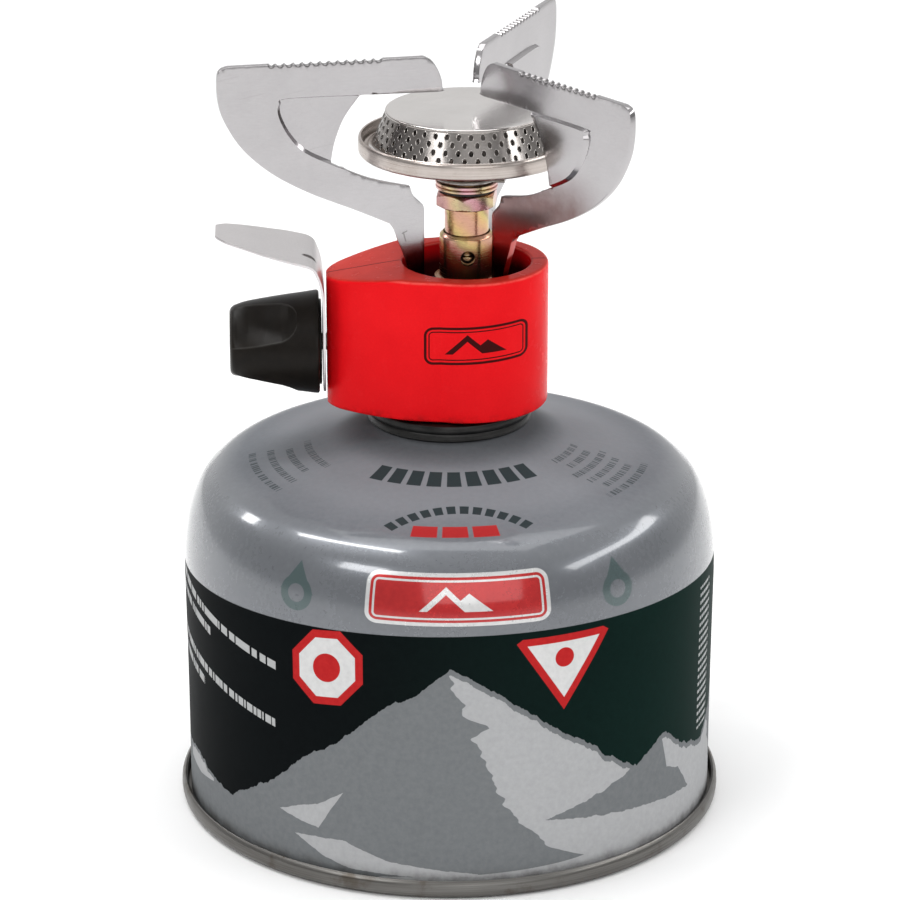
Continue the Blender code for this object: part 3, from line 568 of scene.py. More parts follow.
def mat_red():
    """Moulded red plastic with a fine skin and a plain outlined badge."""
    q = Mat("red_plastic", (0.72, 0.006, 0.008), 0.3, 0.0)
    q.b.inputs["Specular IOR Level"].default_value = 0.035
    skin = q.noise(2.4, 3.0, 0.6)
    cloud = q.noise(0.09, 3.0, 0.5)
    col = q.ramp(cloud * 0.6 + skin * 0.4, [(0.3, (0.69, 0.0052, 0.0090)), (0.7, (0.79, 0.0095, 0.0135))])
    # painted light: the flat top gets a darker, duller painted tone, a painted highlight runs along its top edge, and
    # painted shade darkens the well inside
    top = q.up().step(0.55, 0.9) * (q.z - 106.0).gt(0.0)
    top_painted_shade = q.ramp(q.noise(0.35, 4.0, 0.6) * 0.7 + skin * 0.3, [(0.3, (0.420, 0.022, 0.014)), (0.7, (0.520, 0.034, 0.022))])
    col = q.mix(top * 0.9, col, top_painted_shade)
    edge_painted_highlight = (q.z - (CASE_Z1 - 0.55)).step(-0.2, 0.3) * (1.0 - top) * (q.noise(0.5, 4.0, 0.65).step(0.35, 0.6) * 0.6 + 0.4)
    col = q.mix(edge_painted_highlight * 0.45, col, (0.90, 0.20, 0.16))
    foot = (CASE_Z0 + 1.3 - q.z).step(-0.8, 1.0) * q.noise(0.4, 4.0, 0.6).step(0.42, 0.7)
    col = q.mix(foot * 0.5, col, (0.20, 0.006, 0.006))
    ang, rad = q.polar(OX, 0.0)
    well = (R_BORE + 0.06 - rad).step(-0.05, 0.05)
    joint = (0.20 - q.y.abs()).step(-0.10, 0.06) * (1.0 - well)
    col = q.mix(joint * 0.75, col, (0.10, 0.006, 0.006))
    # painted shade, deeper down the well
    deep = (CASE_Z1 - 0.5 - q.z).step(0.0, 4.0)
    col = q.mix(well * (deep * 0.88 + 0.08).sat(), col, (0.012, 0.003, 0.004))
    # badge on the front: outline and two small peaks, in black
    u = q.x - 4.6
    v = q.z - 100.4 - u * 0.045
    front = (q.y + 6.0).lt(0.0)
    sd = ((u.abs() - 8.5).max(0.0).m("POWER", 2.0) + (v.abs() - 2.1).max(0.0).m("POWER", 2.0)).m("SQRT") - 1.5
    ink = (0.26 - (sd.abs())).step(-0.05, 0.05).max((0.12 - (sd + 0.75).abs()).step(-0.05, 0.05))
    pk = ((2.3 - (u + 1.8).abs() * 0.9) - v).step(-0.05, 0.05).max(((1.1 - (u - 2.2).abs() * 0.75) - v).step(-0.05, 0.05))
    pk = pk * (v + 1.7).step(-0.05, 0.05)
    hollow = ((0.9 - (u + 1.8).abs() * 0.9) - v).step(-0.05, 0.05)
    ink = ink.max(pk * (1.0 - hollow)) * front
    col = q.mix(ink * 0.96, col, (0.012, 0.004, 0.004))
    q.color(col)
    q.rough(q.noise(0.4, 4.0, 0.6) * 0.6 + ink * 0.35, 0.20, 0.40)
    q.bump(skin, 0.07, 0.02)
    q.bump(q.noise(0.12, 2.0, 0.5), 0.10, 0.12)
    return q.m


def mat_knob():
    q = Mat("black_knob", (0.009, 0.0085, 0.008), 0.42, 0.0)
    q.b.inputs["Specular IOR Level"].default_value = 0.13
    grain = q.voronoi(5.5)
    cloud = q.noise(0.3, 4.0, 0.6)
    col = q.ramp(cloud, [(0.3, (0.0038, 0.0027, 0.0018)), (0.72, (0.0080, 0.0058, 0.0040))])
    dust = q.noise(0.9, 4.0, 0.7).step(0.62, 0.78)
    col = q.mix(dust * 0.18, col, (0.030, 0.027, 0.024))
    # painted highlight along the ridges beside the finger scoops and round the outer end
    phi = (q.z - Z_KNOB).m("ARCTAN2", q.y * -1.0) * (180.0 / math.pi)
    along = (q.x * -1.0 + KNOB_X0) * (1.0 / (KNOB_X0 - KNOB_OUT))
    off = (((phi + 375.0) * (1.0 / 120.0)).m("FRACT") * 120.0 - 60.0).abs()
    half = q.curve(along, [(0.24, 0.0), (0.255, 9.0), (0.27, 13.0), (0.29, 17.0), (0.34, 22.5), (0.42, 27.0), (0.7, 32.5), (1.0, 37.0)], 0.0, 40.0)
    ridge = (1.3 - (off - half).abs()).step(-0.8, 1.0) * (along - 0.25).gt(0.0) * (q.noise(0.7, 3.0, 0.6) * 0.6 + 0.4)
    end = (0.012 - (along - 0.985).abs()).step(-0.01, 0.01) * 0.7
    q.color(q.mix(ridge.max(end) * 0.8, col, (0.040, 0.037, 0.034)))
    q.rough(cloud * 0.6 + dust * 0.3, 0.26, 0.52)
    q.bump(grain, 0.16, 0.05)
    q.bump(q.noise(0.35, 3.0, 0.5), 0.12, 0.12)
    return q.m


def mat_sheet(name, angle_deg=0.0, tint=(1.0, 1.0, 1.0), lo=0.22, hi=0.42, teeth="", slot=None):
    """Satin stainless sheet: fine rolled grain, faint smears, a few scratches."""
    q = Mat(name, (0.58, 0.57, 0.575), 0.3, 1.0)
    c, s_ = math.cos(math.radians(angle_deg)), math.sin(math.radians(angle_deg))
    u = q.x * c + q.y * s_
    v = q.x * -s_ + q.y * c
    grain = q.noise(1.0, 5.0, 0.65, q.vec(u * 0.55, v * 7.0, q.z * 7.0))
    speck = q.noise(3.2, 3.0, 0.7)
    smear = q.noise(0.06, 4.0, 0.6)
    t = tint
    f = grain * 0.35 + speck * 0.25 + smear * 0.4
    col = q.ramp(f, [(0.3, (0.50 * t[0], 0.485 * t[1], 0.49 * t[2])), (0.55, (0.60 * t[0], 0.585 * t[1], 0.59 * t[2])),
                     (0.75, (0.68 * t[0], 0.665 * t[1], 0.67 * t[2]))])
    scr = q.noise(0.9, 2.0, 0.5, q.vec(u * 0.12 + q.z * 0.1, v * 3.0, q.z * 2.6 + u * 0.5)).step(0.70, 0.74)
    col = q.mix(scr * 0.35, col, (0.32, 0.31, 0.305))
    # coined rings round the teeth and a stamped mark on the leg
    if teeth:
        w_ = q.x * c + q.y * s_ - OX * c
        k_ = ((w_ - 17.52) * (1.0 / 1.75))
        du = (k_.m("ROUND") - k_) * 1.75
        dz = q.z - (ARM_TOP - 0.10)
        rr = (du * du * 1.25 + dz * dz).m("SQRT")
        ring = (0.16 - (rr - 0.66).abs()).step(-0.06, 0.12) * (w_ - 16.7).gt(0.0) * (w_ - 39.4).lt(0.0)
        col = q.mix(ring * 0.68, col, (0.060, 0.056, 0.054))
        # stamped mark on the leg
        mu, mz = w_ - 12.6, q.z - 118.6
        mark = (0.13 - (mu - mz * 0.25).abs()).step(-0.04, 0.04) * (1.0 - mz.abs()).step(-0.05, 0.05)
        mark = mark.max((0.13 - (mz - 0.9 + mu * 0.5).abs()).step(-0.04, 0.04) * (0.55 - mu.abs()).step(-0.05, 0.05))
        col = q.mix(mark * 0.6, col, (0.10, 0.095, 0.09))
        # fixed tint: stands in for the dark well at every foot, and for the red housing mirrored in the right blade
        cl = q.noise(0.5, 4.0, 0.6) * 0.5 + 0.75
        if teeth == "right":
            housing_painted_reflection = (141.0 - q.z).step(0.0, 12.5) * (44.0 - w_).step(0.0, 12.0) * cl
            col = q.mix(housing_painted_reflection.min(1.0) * 0.82, col, q.mix((127.0 - q.z).step(0.0, 5.0), (0.125, 0.058, 0.052), (0.50, 0.055, 0.040)))
        foot = (120.6 - q.z).step(0.0, 7.5) * cl
        col = q.mix(foot.min(1.0) * 0.88, col, (0.045, 0.012, 0.012))
    if slot:
        # painted shade round the small slot in the shield
        du = ((q.x - slot[0]).m("POWER", 2.0) + (q.z - slot[2]).m("POWER", 2.0)).m("SQRT") * (1.0 / 1.75)
        dy = (q.y - slot[1]) * (1.0 / 1.0)
        col = q.mix((1.12 - (du * du + dy * dy).m("SQRT")).step(0.0, 0.25) * 0.8, col, (0.07, 0.06, 0.055))
    q.color(col)
    q.rough(grain * 0.5 + smear * 0.5, lo, hi)
    q.bump(grain, 0.12, 0.02)
    q.bump(speck, 0.10, 0.012)
    return q.m


def mat_burner(name, lo, hi, warm=0.0, top=False):
    q = Mat(name, (0.55, 0.53, 0.515), 0.2, 1.0)
    ang, rad = q.polar(OX, 0.0)
    turn = q.noise(0.9, 4.0, 0.6, q.vec(ang * 0.02, rad * 7.0, q.z * 5.0))
    smear = q.noise(0.12, 4.0, 0.6)
    a = (0.40 - warm * 0.05, 0.375 - warm * 0.08, 0.36 - warm * 0.10)
    b = (0.66, 0.64 - warm * 0.03, 0.63 - warm * 0.05)
    col = q.ramp(turn * 0.5 + smear * 0.5, [(0.3, a), (0.7, b)])
    if top:
        heat = (rad - 9.0).step(-6.0, 6.0) * q.noise(0.2, 3.0, 0.6)
        col = q.mix(heat * 0.18, col, (0.50, 0.43, 0.36))
        # painted light: the flat top is painted much paler, and the cone side is painted darker as painted shade
        flat = q.up().step(0.7, 0.95)
        col = q.mix(flat * 0.55, col, (0.92, 0.89, 0.87))
        col = q.mix((1.0 - flat) * (turn * 0.5 + 0.25), col, (0.13, 0.115, 0.105))
    else:
        # the dish is darker towards the bottom, mottled
        dark_mottle = (Z_RIM - 2.4 - q.z).step(-0.8, 1.5) * smear
        col = q.mix(dark_mottle * 0.5, col, (0.16, 0.14, 0.125))
    q.color(col)
    q.rough(turn * 0.5 + smear * 0.5, lo, hi)
    q.bump(turn, 0.10, 0.02)
    return q.m


def mat_zinc(name="yellow_zinc", shift=0.0, tint=(1.0, 1.0, 1.0)):
    """Yellow passivated zinc, browner and darker towards the bottom: drifts pink and straw round the part."""
    q = Mat(name, (0.62, 0.42, 0.33), 0.22, 1.0)
    ang, rad = q.polar(OX, 0.0)
    drift = q.noise(0.10, 3.0, 0.55)
    h = (ang * (math.pi / 180.0) * 2.0 + q.z * 0.35 + shift + drift * 5.0).m("SINE") * 0.5 + 0.5
    def c(r, g, b):
        return (r * tint[0], g * tint[1], b * tint[2])
    col = q.ramp(h, [(0.0, c(0.55, 0.31, 0.22)), (0.30, c(0.60, 0.39, 0.19)), (0.62, c(0.54, 0.43, 0.18)), (0.85, c(0.38, 0.27, 0.14)),
                     (1.0, c(0.56, 0.31, 0.25))])
    # darker and browner towards the bottom
    low = (q.z * -1.0 + 119.0).step(0.0, 9.0)
    col = q.mix(low * 0.62, col, c(0.16, 0.075, 0.030))
    turn = q.noise(1.0, 4.0, 0.6, q.vec(ang * 0.02, rad * 5.0, q.z * 8.0))
    stain = q.noise(0.5, 4.0, 0.65).step(0.55, 0.75)
    q.color(q.mix(stain * 0.35, col, c(0.22, 0.13, 0.08)))
    q.rough(turn * 0.6 + drift * 0.4, 0.16, 0.36)
    q.bump(turn, 0.16, 0.02)
    return q.m


def mat_rubber():
    q = Mat("rubber_seal", (0.012, 0.012, 0.012), 0.6, 0.0)
    n = q.noise(1.5, 4.0, 0.6)
    q.color(q.ramp(n, [(0.3, (0.008, 0.008, 0.008)), (0.7, (0.022, 0.021, 0.020))]))
    q.rough(n, 0.45, 0.75)
    q.bump(n, 0.2, 0.03)
    return q.m


def mat_nylon():
    q = Mat("white_nylon", (0.72, 0.70, 0.66), 0.45, 0.0)
    n = q.noise(0.8, 4.0, 0.6)
    q.color(q.ramp(n, [(0.3, (0.64, 0.62, 0.57)), (0.7, (0.78, 0.77, 0.73))]))
    q.rough(n, 0.35, 0.6)
    q.bump(n, 0.1, 0.03)
    return q.m


M_CAN = mat_canister()
M_SEAM = mat_tin("tin_seam", 0.36)
M_SPIGOT = mat_tin("spigot_tin", 1.15)
M_CUP = mat_cup_painted_shade()
M_RED = mat_red()
M_KNOB = mat_knob()
AZ = {}
for w in ("left", "right", "rear"):
    lo, hi = bx("pot_support_" + w)
    # direction of the blade, from the far corner of its box, allowing for half the sheet
    ux = lo.x - OX if abs(lo.x - OX) > abs(hi.x - OX) else hi.x - OX
    uy = lo.y if abs(lo.y) > abs(hi.y) else hi.y
    a = math.atan2(abs(uy), abs(ux))
    for _ in range(8):
        a = math.atan2(abs(uy) - 0.65 * math.cos(a), abs(ux) - 0.65 * math.sin(a))
    AZ[w] = math.degrees(math.atan2(math.copysign(math.sin(a), uy), math.copysign(math.cos(a), ux)))
M_ARM = {w: mat_sheet("stainless_" + w, AZ[w], (0.74, 0.735, 0.74), lo=0.08, hi=0.21, teeth=w) for w in AZ}
M_SHIELD = mat_sheet("stainless_shield", 0.0, (1.10, 1.085, 1.08), 0.24, 0.45, slot=(-27.5, -3.6, 115.0))
M_DISH = mat_burner("burner_dish_steel", 0.20, 0.38, 1.0)
M_CAP = mat_burner("burner_cap_steel", 0.12, 0.25, 0.15, top=True)
M_ZINC = mat_zinc()
M_ZINC2 = mat_zinc("yellow_zinc_nut", 1.4, (1.06, 1.10, 1.50))
# painted shade: the rings down in the well reuse the nearly black cup steel
M_RING_PAINTED_SHADE = mat_cup_painted_shade()
M_RING_PAINTED_SHADE.name = "ring_painted_shade_steel"
M_SCREW = mat_tin("screw_steel", 0.8)
M_RUB = mat_rubber()
M_NYL = mat_nylon()

for node, m in (("cup_gasket", M_RUB), ("valve_spigot", M_SPIGOT), ("stem_gasket", M_RUB), ("valve_stem", M_ZINC),
                ("valve_housing", M_NYL), ("valve_spring", M_SCREW), ("valve_body", M_ZINC), ("actuator_pin", M_SCREW),
                ("inlet_seal", M_RUB), ("needle_spindle", M_SCREW), ("spindle_o_ring", M_RUB), ("gland_nut", M_ZINC2),
                ("gas_jet", M_ZINC2), ("case_screw_left", M_SCREW), ("case_screw_right", M_SCREW), ("knob_screw", M_SCREW),
                ("swivel_ring_left", M_RING_PAINTED_SHADE), ("swivel_ring_right", M_RING_PAINTED_SHADE), ("swivel_ring_rear", M_RING_PAINTED_SHADE)):
    o = frame["nodes"][node]
    for sl in o.material_slots:
        sl.link = "DATA"
    if len(o.material_slots) == 0:
        o.data.materials.append(m)
    else:
        for i in range(len(o.material_slots)):
            o.material_slots[i].material = m


# ---------------------------------------------------------------- canister
def canister_line():
    key = [(R_CAN - 0.3, 1.3), (R_CAN - 0.3, 6.0), (R_CAN - 0.28, 16.0), (R_CAN - 0.22, 28.0), (R_CAN - 0.12, 38.0), (R_CAN - 0.03, 45.0),
           (R_CAN, 50.0), (R_CAN - 0.3, 55.6), (R_CAN - 1.35, 61.4), (50.3, 66.2), (47.9, 68.9), (44.75, 70.9), (39.8, 72.3), (32.2, 74.1),
           (24.0, 76.4), (17.0, 79.2)]
    return smooth_line(key, 6)


def build_canister():
    outer = canister_line()
    inner = []
    for i, p in enumerate(outer):
        a, b = outer[max(i - 1, 0)], outer[min(i + 1, len(outer) - 1)]
        tx, tz = b[0] - a[0], b[1] - a[1]
        L = math.hypot(tx, tz)
        inner.append((p[0] - 0.6 * tz / L, p[1] + 0.6 * tx / L))
    inner[-1] = (16.85, 78.58)
    bead = [(14.4 + 1.15 * math.cos(math.radians(t)), 81.3 + 1.15 * math.sin(math.radians(t))) for t in range(-40, 246, 15)]
    back = inner[::-3]
    if math.dist(back[-1], (R_CAN - 0.9, 1.3)) > 0.5:
        back.append((R_CAN - 0.9, 1.3))
    ob = lathe("canister_shell", outer + bead + back, [M_CAN], 240 if HI else 120, 40)
    place(ob, "canister", "can_paint", "canister_body")

    seam = [(0, 12.0), (12, 11.7), (24, 10.6), (36, 8.4), (44, 6.2), (50.2, 4.1), (51.6, 2.6), (51.9, 0.9), (52.4, 0.12), (53.4, 0.0),
            (54.5, 0.12), (55.05, 0.7), (R_SEAM, 1.6), (55.15, 2.6), (54.9, 3.3), (54.5, 3.6), (54.1, 3.45), (54.0, 3.0), (54.0, 1.2),
            (53.9, 0.95), (52.5, 0.95), (52.4, 1.1), (52.4, 3.3), (51.9, 4.2), (50.8, 4.9), (44.2, 6.9), (36.1, 9.1), (24, 11.3), (12, 12.4), (0, 12.7)]
    ob = lathe("canister_foot", seam, [M_SEAM], 240 if HI else 120, 35)
    place(ob, "canister", "tinplate", "canister_base")

    cup = [(15.85, 80.35), (16.15, 80.3), (R_CRIMP, 80.6), (R_CRIMP, 81.6), (16.25, 81.9), (R_CRIMP, 82.2), (R_CRIMP, 82.9), (16.2, 83.5), (15.6, Z_CRIMP),
           (14.6, Z_CRIMP - 0.05), (13.2, Z_CRIMP - 0.1), (12.5, 83.5), (12.2, 82.9), (12.0, 78.6), (11.7, 77.9), (11.1, 77.65), (4.2, 77.6), (4.2, 77.0), (11.5, 77.0),
           (12.3, 77.5), (12.6, 78.2), (12.85, 82.9), (13.1, 83.15), (15.4, 83.2), (15.85, 82.9)]
    ob = lathe("crimped_cup", cup, [M_CUP], 144, 35)
    place(ob, "canister", "dark_steel", "valve_cup")


# ---------------------------------------------------------------- housing
def case_outline(n=80):
    pts = []
    R = R_CASE
    a_t = math.radians(111.0)
    for i in range(n + 1):
        a = -a_t + 2 * a_t * i / n
        pts.append((R * math.cos(a), R * math.sin(a)))
    side = smooth_line([pts[-1], (-12.0, 14.0), (-19.0, 10.9), (-24.4, 7.3), (-26.7, 4.9), (CASE_X0 - OX, 2.6)], 8)[1:]
    pts += side
    pts += [(x, -y) for x, y in side[::-1]]
    return pts


def ray_hit(poly, a):
    """Distance from the origin to the outline at angle a."""
    c, s = math.cos(a), math.sin(a)
    best = None
    n = len(poly)
    for i in range(n):
        x1, y1 = poly[i]
        x2, y2 = poly[(i + 1) % n]
        dx, dy = x2 - x1, y2 - y1
        den = c * dy - s * dx
        if abs(den) < 1e-9:
            continue
        t = (x1 * dy - y1 * dx) / den
        w = (x1 * s - y1 * c) / den
        if t > 0 and -1e-6 <= w <= 1 + 1e-6:
            best = t if best is None else max(best, t)
    return best


def build_housing():
    poly = case_outline()
    nA = 288 if HI else 144
    angs = [TAU * (i + 0.5) / nA for i in range(nA)]
    # straight tail end needs samples on its corners
    rho = [ray_hit(poly, a) for a in angs]
    zt0, x_flat, slope = CASE_Z1, -13.5, 2.5 / 15.2
    rt, rb = 0.75, 0.6

    def ztop(x):
        return zt0 - max(0.0, x_flat - x) * slope
    normals = []
    for i in range(nA):
        a, b = angs[i - 1], angs[(i + 1) % nA]
        pa = (rho[i - 1] * math.cos(a), rho[i - 1] * math.sin(a))
        pb = (rho[(i + 1) % nA] * math.cos(b), rho[(i + 1) % nA] * math.sin(b))
        tx, ty = pb[0] - pa[0], pb[1] - pa[1]
        L = math.hypot(tx, ty)
        normals.append((ty / L, -tx / L))
    verts, rings = [], []

    def ring(fn):
        row = []
        for i in range(nA):
            verts.append(fn(i))
            row.append(len(verts) - 1)
        rings.append(row)

    def wall(off, dz, top=None):
        def fn(i):
            x = rho[i] * math.cos(angs[i]) - normals[i][0] * off
            y = rho[i] * math.sin(angs[i]) - normals[i][1] * off
            z = (ztop(x) + dz) if top else (CASE_Z0 + dz)
            return (x + OX, y, z)
        return fn
    # underside fillet, wall, top fillet
    for k in range(4):
        t = math.pi / 2 * k / 4
        ring(wall(rb * (1 - math.sin(t)), rb * (1 - math.cos(t))))
    ring(wall(0.0, rb))
    for f in (0.33, 0.66):
        def mid(i, f=f):
            x = rho[i] * math.cos(angs[i])
            y = rho[i] * math.sin(angs[i])
            z = CASE_Z0 + rb + (ztop(x) - rt - CASE_Z0 - rb) * f
            return (x + OX, y, z)
        ring(mid)
    for k in range(7):
        t = math.pi / 2 * k / 6
        ring(wall(rt * (1 - math.cos(t)), -rt * (1 - math.sin(t)), True))
    # top face, then the lip of the well, its wall, floor, pocket
    for f in (0.2, 0.45, 0.7, 0.9):
        def face(i, f=f):
            x0 = rho[i] * math.cos(angs[i]) - normals[i][0] * rt
            y0 = rho[i] * math.sin(angs[i]) - normals[i][1] * rt
            x1, y1 = (R_BORE + 0.55) * math.cos(angs[i]), (R_BORE + 0.55) * math.sin(angs[i])
            x, y = x0 + (x1 - x0) * f, y0 + (y1 - y0) * f
            return (x + OX, y, ztop(x))
        ring(face)
    for k in range(5):
        t = math.pi / 2 * k / 4
        rr = R_BORE + 0.55 * (1 - math.sin(t))
        dz = -0.55 * (1 - math.cos(t))
        def lip(i, rr=rr, dz=dz):
            x, y = rr * math.cos(angs[i]), rr * math.sin(angs[i])
            return (x + OX, y, ztop(x) + dz)
        ring(lip)
    ring(lambda i: (R_BORE * math.cos(angs[i]) + OX, R_BORE * math.sin(angs[i]), 106.0))
    ring(lambda i: (R_BORE * math.cos(angs[i]) + OX, R_BORE * math.sin(angs[i]), 99.2))

    def pocket(z):
        def fn(i):
            # ring about x = 0 seen from the column axis
            c, s = math.cos(angs[i]), math.sin(angs[i])
            b = OX * c
            d = -b + math.sqrt(b * b - (OX * OX - 8.6 * 8.6))
            return (OX + d * c, d * s, z)
        return fn
    ring(pocket(99.2))
    ring(pocket(92.0))
    ring(pocket(CASE_Z0))
    faces = []
    n = len(rings)
    for r in range(n):
        A, B = rings[r], rings[(r + 1) % n]
        for i in range(nA):
            j = (i + 1) % nA
            faces.append((A[i], A[j], B[j], B[i]))
    for name, sign, node in (("red_case_front", -1, "housing_front"), ("red_case_rear", 1, "housing_rear")):
        ob = obj_from(name, verts, faces, [M_RED], 30)
        cuts = []
        v, f = lathe_data([(0, 0.0), (5.4, 0.0), (5.4, 20.0), (2.2, 20.2), (2.2, 32.0), (0, 32.0)], 48, axis="-X", zc=Z_KNOB)
        cuts.append(obj_from("c", v, f, []))
        tail = [(x, y) for x, y in case_outline(40)]
        tin = [(-17.6, 8.9)] + [(x + 1.6, y - 1.2 if y > 0 else y + 1.2) for x, y in tail if x < -19.4 and abs(y) > 2.0] + [(-17.6, -8.9)]
        tin.sort(key=lambda p: math.atan2(p[1], p[0] + 20.0) % TAU)
        bmx = bmesh.new()
        fc = bmx.faces.new([bmx.verts.new(((x + OX) * MM, y * MM, (CASE_Z0 + 1.8) * MM)) for x, y in tin])
        g = bmesh.ops.extrude_face_region(bmx, geom=[fc])
        bmesh.ops.translate(bmx, vec=(0, 0, 22.6 * MM), verts=[q for q in g["geom"] if isinstance(q, bmesh.types.BMVert)])
        bmesh.ops.recalc_face_normals(bmx, faces=bmx.faces)
        me = bpy.data.meshes.new("c")
        bmx.to_mesh(me)
        bmx.free()
        co = bpy.data.objects.new("c", me)
        bpy.context.scene.collection.objects.link(co)
        cuts.append(co)
        for nd in ("case_screw_right", "case_screw_left"):
            lo, hi = bx(nd)
            x, z = (lo.x + hi.x) / 2, (lo.z + hi.z) / 2
            v, f = lathe_data([(0, -7.5), (1.3, -7.5), (1.3, 9.6), (2.5, 9.6), (2.5, 20), (0, 20)], 32)
            v = [(px + x, pz, -py + z) for px, py, pz in v]
            cuts.append(obj_from("c", v, f, []))
        # keep one side of the parting plane
        big = [(-60, -60 if sign < 0 else 0.05), (60, -60 if sign < 0 else 0.05), (60, -0.05 if sign < 0 else 60), (-60, -0.05 if sign < 0 else 60)]
        v = [(x, y, z) for z in (60, 140) for x, y in big]
        f = [(3, 2, 1, 0), (4, 5, 6, 7), (0, 1, 5, 4), (1, 2, 6, 5), (2, 3, 7, 6), (3, 0, 4, 7)]
        keep = obj_from("c", v, f, [])
        boolean_now(ob, cuts)
        boolean_now(ob, [keep], "INTERSECT")
        me = ob.data
        if len(me.materials) == 0:
            me.materials.append(M_RED)
        bmx = bmesh.new()
        bmx.from_mesh(me)
        bmesh.ops.remove_doubles(bmx, verts=bmx.verts, dist=1e-6)
        bmx.to_mesh(me)
        bmx.free()
        me.shade_smooth()
        me.set_sharp_from_angle(angle=math.radians(30))
        place(ob, "stove", "red_plastic", node)


# ---------------------------------------------------------------- sheet parts from a flat outline
def sheet_mesh(outline, loops, depth, thick, step=1.2, bevel=0.14, place_fn=None, hole=None):
    """Triangulates a flat outline with inner guide loops, moves points sideways by
    depth(u, w), gives it thickness and rounded edges.  place_fn(u, w, v) -> xyz in mm."""
    def inset(poly, d):
        n = len(poly)
        area = sum(poly[i][0] * poly[(i + 1) % n][1] - poly[(i + 1) % n][0] * poly[i][1] for i in range(n))
        sg = 1.0 if area > 0 else -1.0
        out = []
        for i in range(n):
            a, p, b = poly[i - 1], poly[i], poly[(i + 1) % n]
            t1 = (p[0] - a[0], p[1] - a[1]); t2 = (b[0] - p[0], b[1] - p[1])
            l1, l2 = math.hypot(*t1) or 1.0, math.hypot(*t2) or 1.0
            n1 = (-t1[1] / l1 * sg, t1[0] / l1 * sg); n2 = (-t2[1] / l2 * sg, t2[0] / l2 * sg)
            m = (n1[0] + n2[0], n1[1] + n2[1])
            L = math.hypot(*m)
            if L < 0.2:
                m, L = n1, 1.0
            k = min(2.0, 2.0 / L / L * 1.0) if L > 0 else 1.0
            out.append((p[0] + m[0] * d * k * 1.0, p[1] + m[1] * d * k * 1.0))
        return out
    outline = [p for i, p in enumerate(outline) if math.dist(p, outline[i - 1]) > 1e-3]
    inner = inset(outline, bevel)
    pts, edges = [], []

    def add_loop(poly, closed=True):
        i0 = len(pts)
        pts.extend(poly)
        n = len(poly)
        for i in range(n if closed else n - 1):
            edges.append((i0 + i, i0 + (i + 1) % n))
        return i0
    add_loop(inner)
    for lp, cl in loops:
        add_loop(lp, cl)
    if hole:
        hin = inset(hole, -bevel)
        add_loop(hin)
    us = [p[0] for p in inner]
    ws = [p[1] for p in inner]
    r = 0
    w = min(ws) + step * 0.5
    while w < max(ws):
        u = min(us) + (0.5 if r % 2 else 0.0) * step
        while u < max(us):
            pts.append((u + 0.11 * math.sin(w * 3.1), w + 0.11 * math.sin(u * 2.7)))
            u += step
        w += step * 0.87
        r += 1
    vin = [Vector(p) for p in pts]
    face0 = list(range(len(inner)))
    vo, eo, fo, *_ = geometry.delaunay_2d_cdt(vin, edges, [face0], 1, 1e-4)
    # keep triangles inside the inner outline (and outside the hole)
    def inside(p, poly):
        c = False
        n = len(poly)
        for i in range(n):
            x1, y1 = poly[i]; x2, y2 = poly[(i + 1) % n]
            if (y1 > p[1]) != (y2 > p[1]) and p[0] < (x2 - x1) * (p[1] - y1) / (y2 - y1) + x1:
                c = not c
        return c
    tris = []
    for f in fo:
        cx = sum(vo[i][0] for i in f) / len(f)
        cy = sum(vo[i][1] for i in f) / len(f)
        if inside((cx, cy), inner) and not (hole and inside((cx, cy), hin)):
            tris.append(f)
    used = sorted({i for f in tris for i in f})
    remap = {i: k for k, i in enumerate(used)}
    flat = [(vo[i][0], vo[i][1]) for i in used]
    tris = [tuple(remap[i] for i in f) for f in tris]
    nf = len(flat)
    # boundary edges of the triangulated face, in order
    cnt = {}
    for f in tris:
        for a, b in zip(f, f[1:] + f[:1]):
            cnt[(a, b)] = cnt.get((a, b), 0) + 1
    border = [(a, b) for (a, b) in cnt if (b, a) not in cnt]
    h = thick / 2
    V = []
    for u, w in flat:
        V.append((u, w, h))
    for u, w in flat:
        V.append((u, w, -h))
    F = [tuple(f) for f in tris] + [tuple(nf + i for i in f[::-1]) for f in tris]
    # each border vertex gets two outward rim points
    nb = {}
    outp = {}
    for a, b in border:
        nb.setdefault(a, [None, None])[1] = b
        nb.setdefault(b, [None, None])[0] = a
    for v, (p, q) in nb.items():
        A = flat[p] if p is not None else flat[v]
        B = flat[q] if q is not None else flat[v]
        P = flat[v]
        t1 = (P[0] - A[0], P[1] - A[1]); t2 = (B[0] - P[0], B[1] - P[1])
        l1, l2 = math.hypot(*t1) or 1.0, math.hypot(*t2) or 1.0
        n1 = (t1[1] / l1, -t1[0] / l1); n2 = (t2[1] / l2, -t2[0] / l2)
        m = (n1[0] + n2[0], n1[1] + n2[1])
        L = math.hypot(*m) or 1.0
        k = min(2.2, 2.0 / (L * L)) if L > 0.3 else 1.0
        outp[v] = (P[0] + m[0] * bevel * k * 0.5 * 2.0 * 0.5 * 2.0 / 2.0, P[1] + m[1] * bevel * k / 1.0 * 0.5 * 2.0 * 0.5 * 2.0 / 2.0)
    rim = {}
    for v, (ox, oy) in outp.items():
        P = flat[v]
        dx, dy = ox - P[0], oy - P[1]
        idx = []
        for off, z in ((0.62, h - 0.10 * bevel * 1.0), (1.0, h - bevel * 0.75), (1.0, -h + bevel * 0.75), (0.62, -h + 0.10 * bevel)):
            V.append((P[0] + dx * off, P[1] + dy * off, z))
            idx.append(len(V) - 1)
        rim[v] = idx
    for a, b in border:
        ra, rb_ = rim[a], rim[b]
        F.append((b, a, ra[0], rb_[0]))
        for k in range(3):
            F.append((rb_[k], ra[k], ra[k + 1], rb_[k + 1]))
        F.append((rb_[3], ra[3], nf + a, nf + b))
    out = []
    for u, w, v in V:
        out.append(place_fn(u, w, v + depth(u, w)))
    return out, F


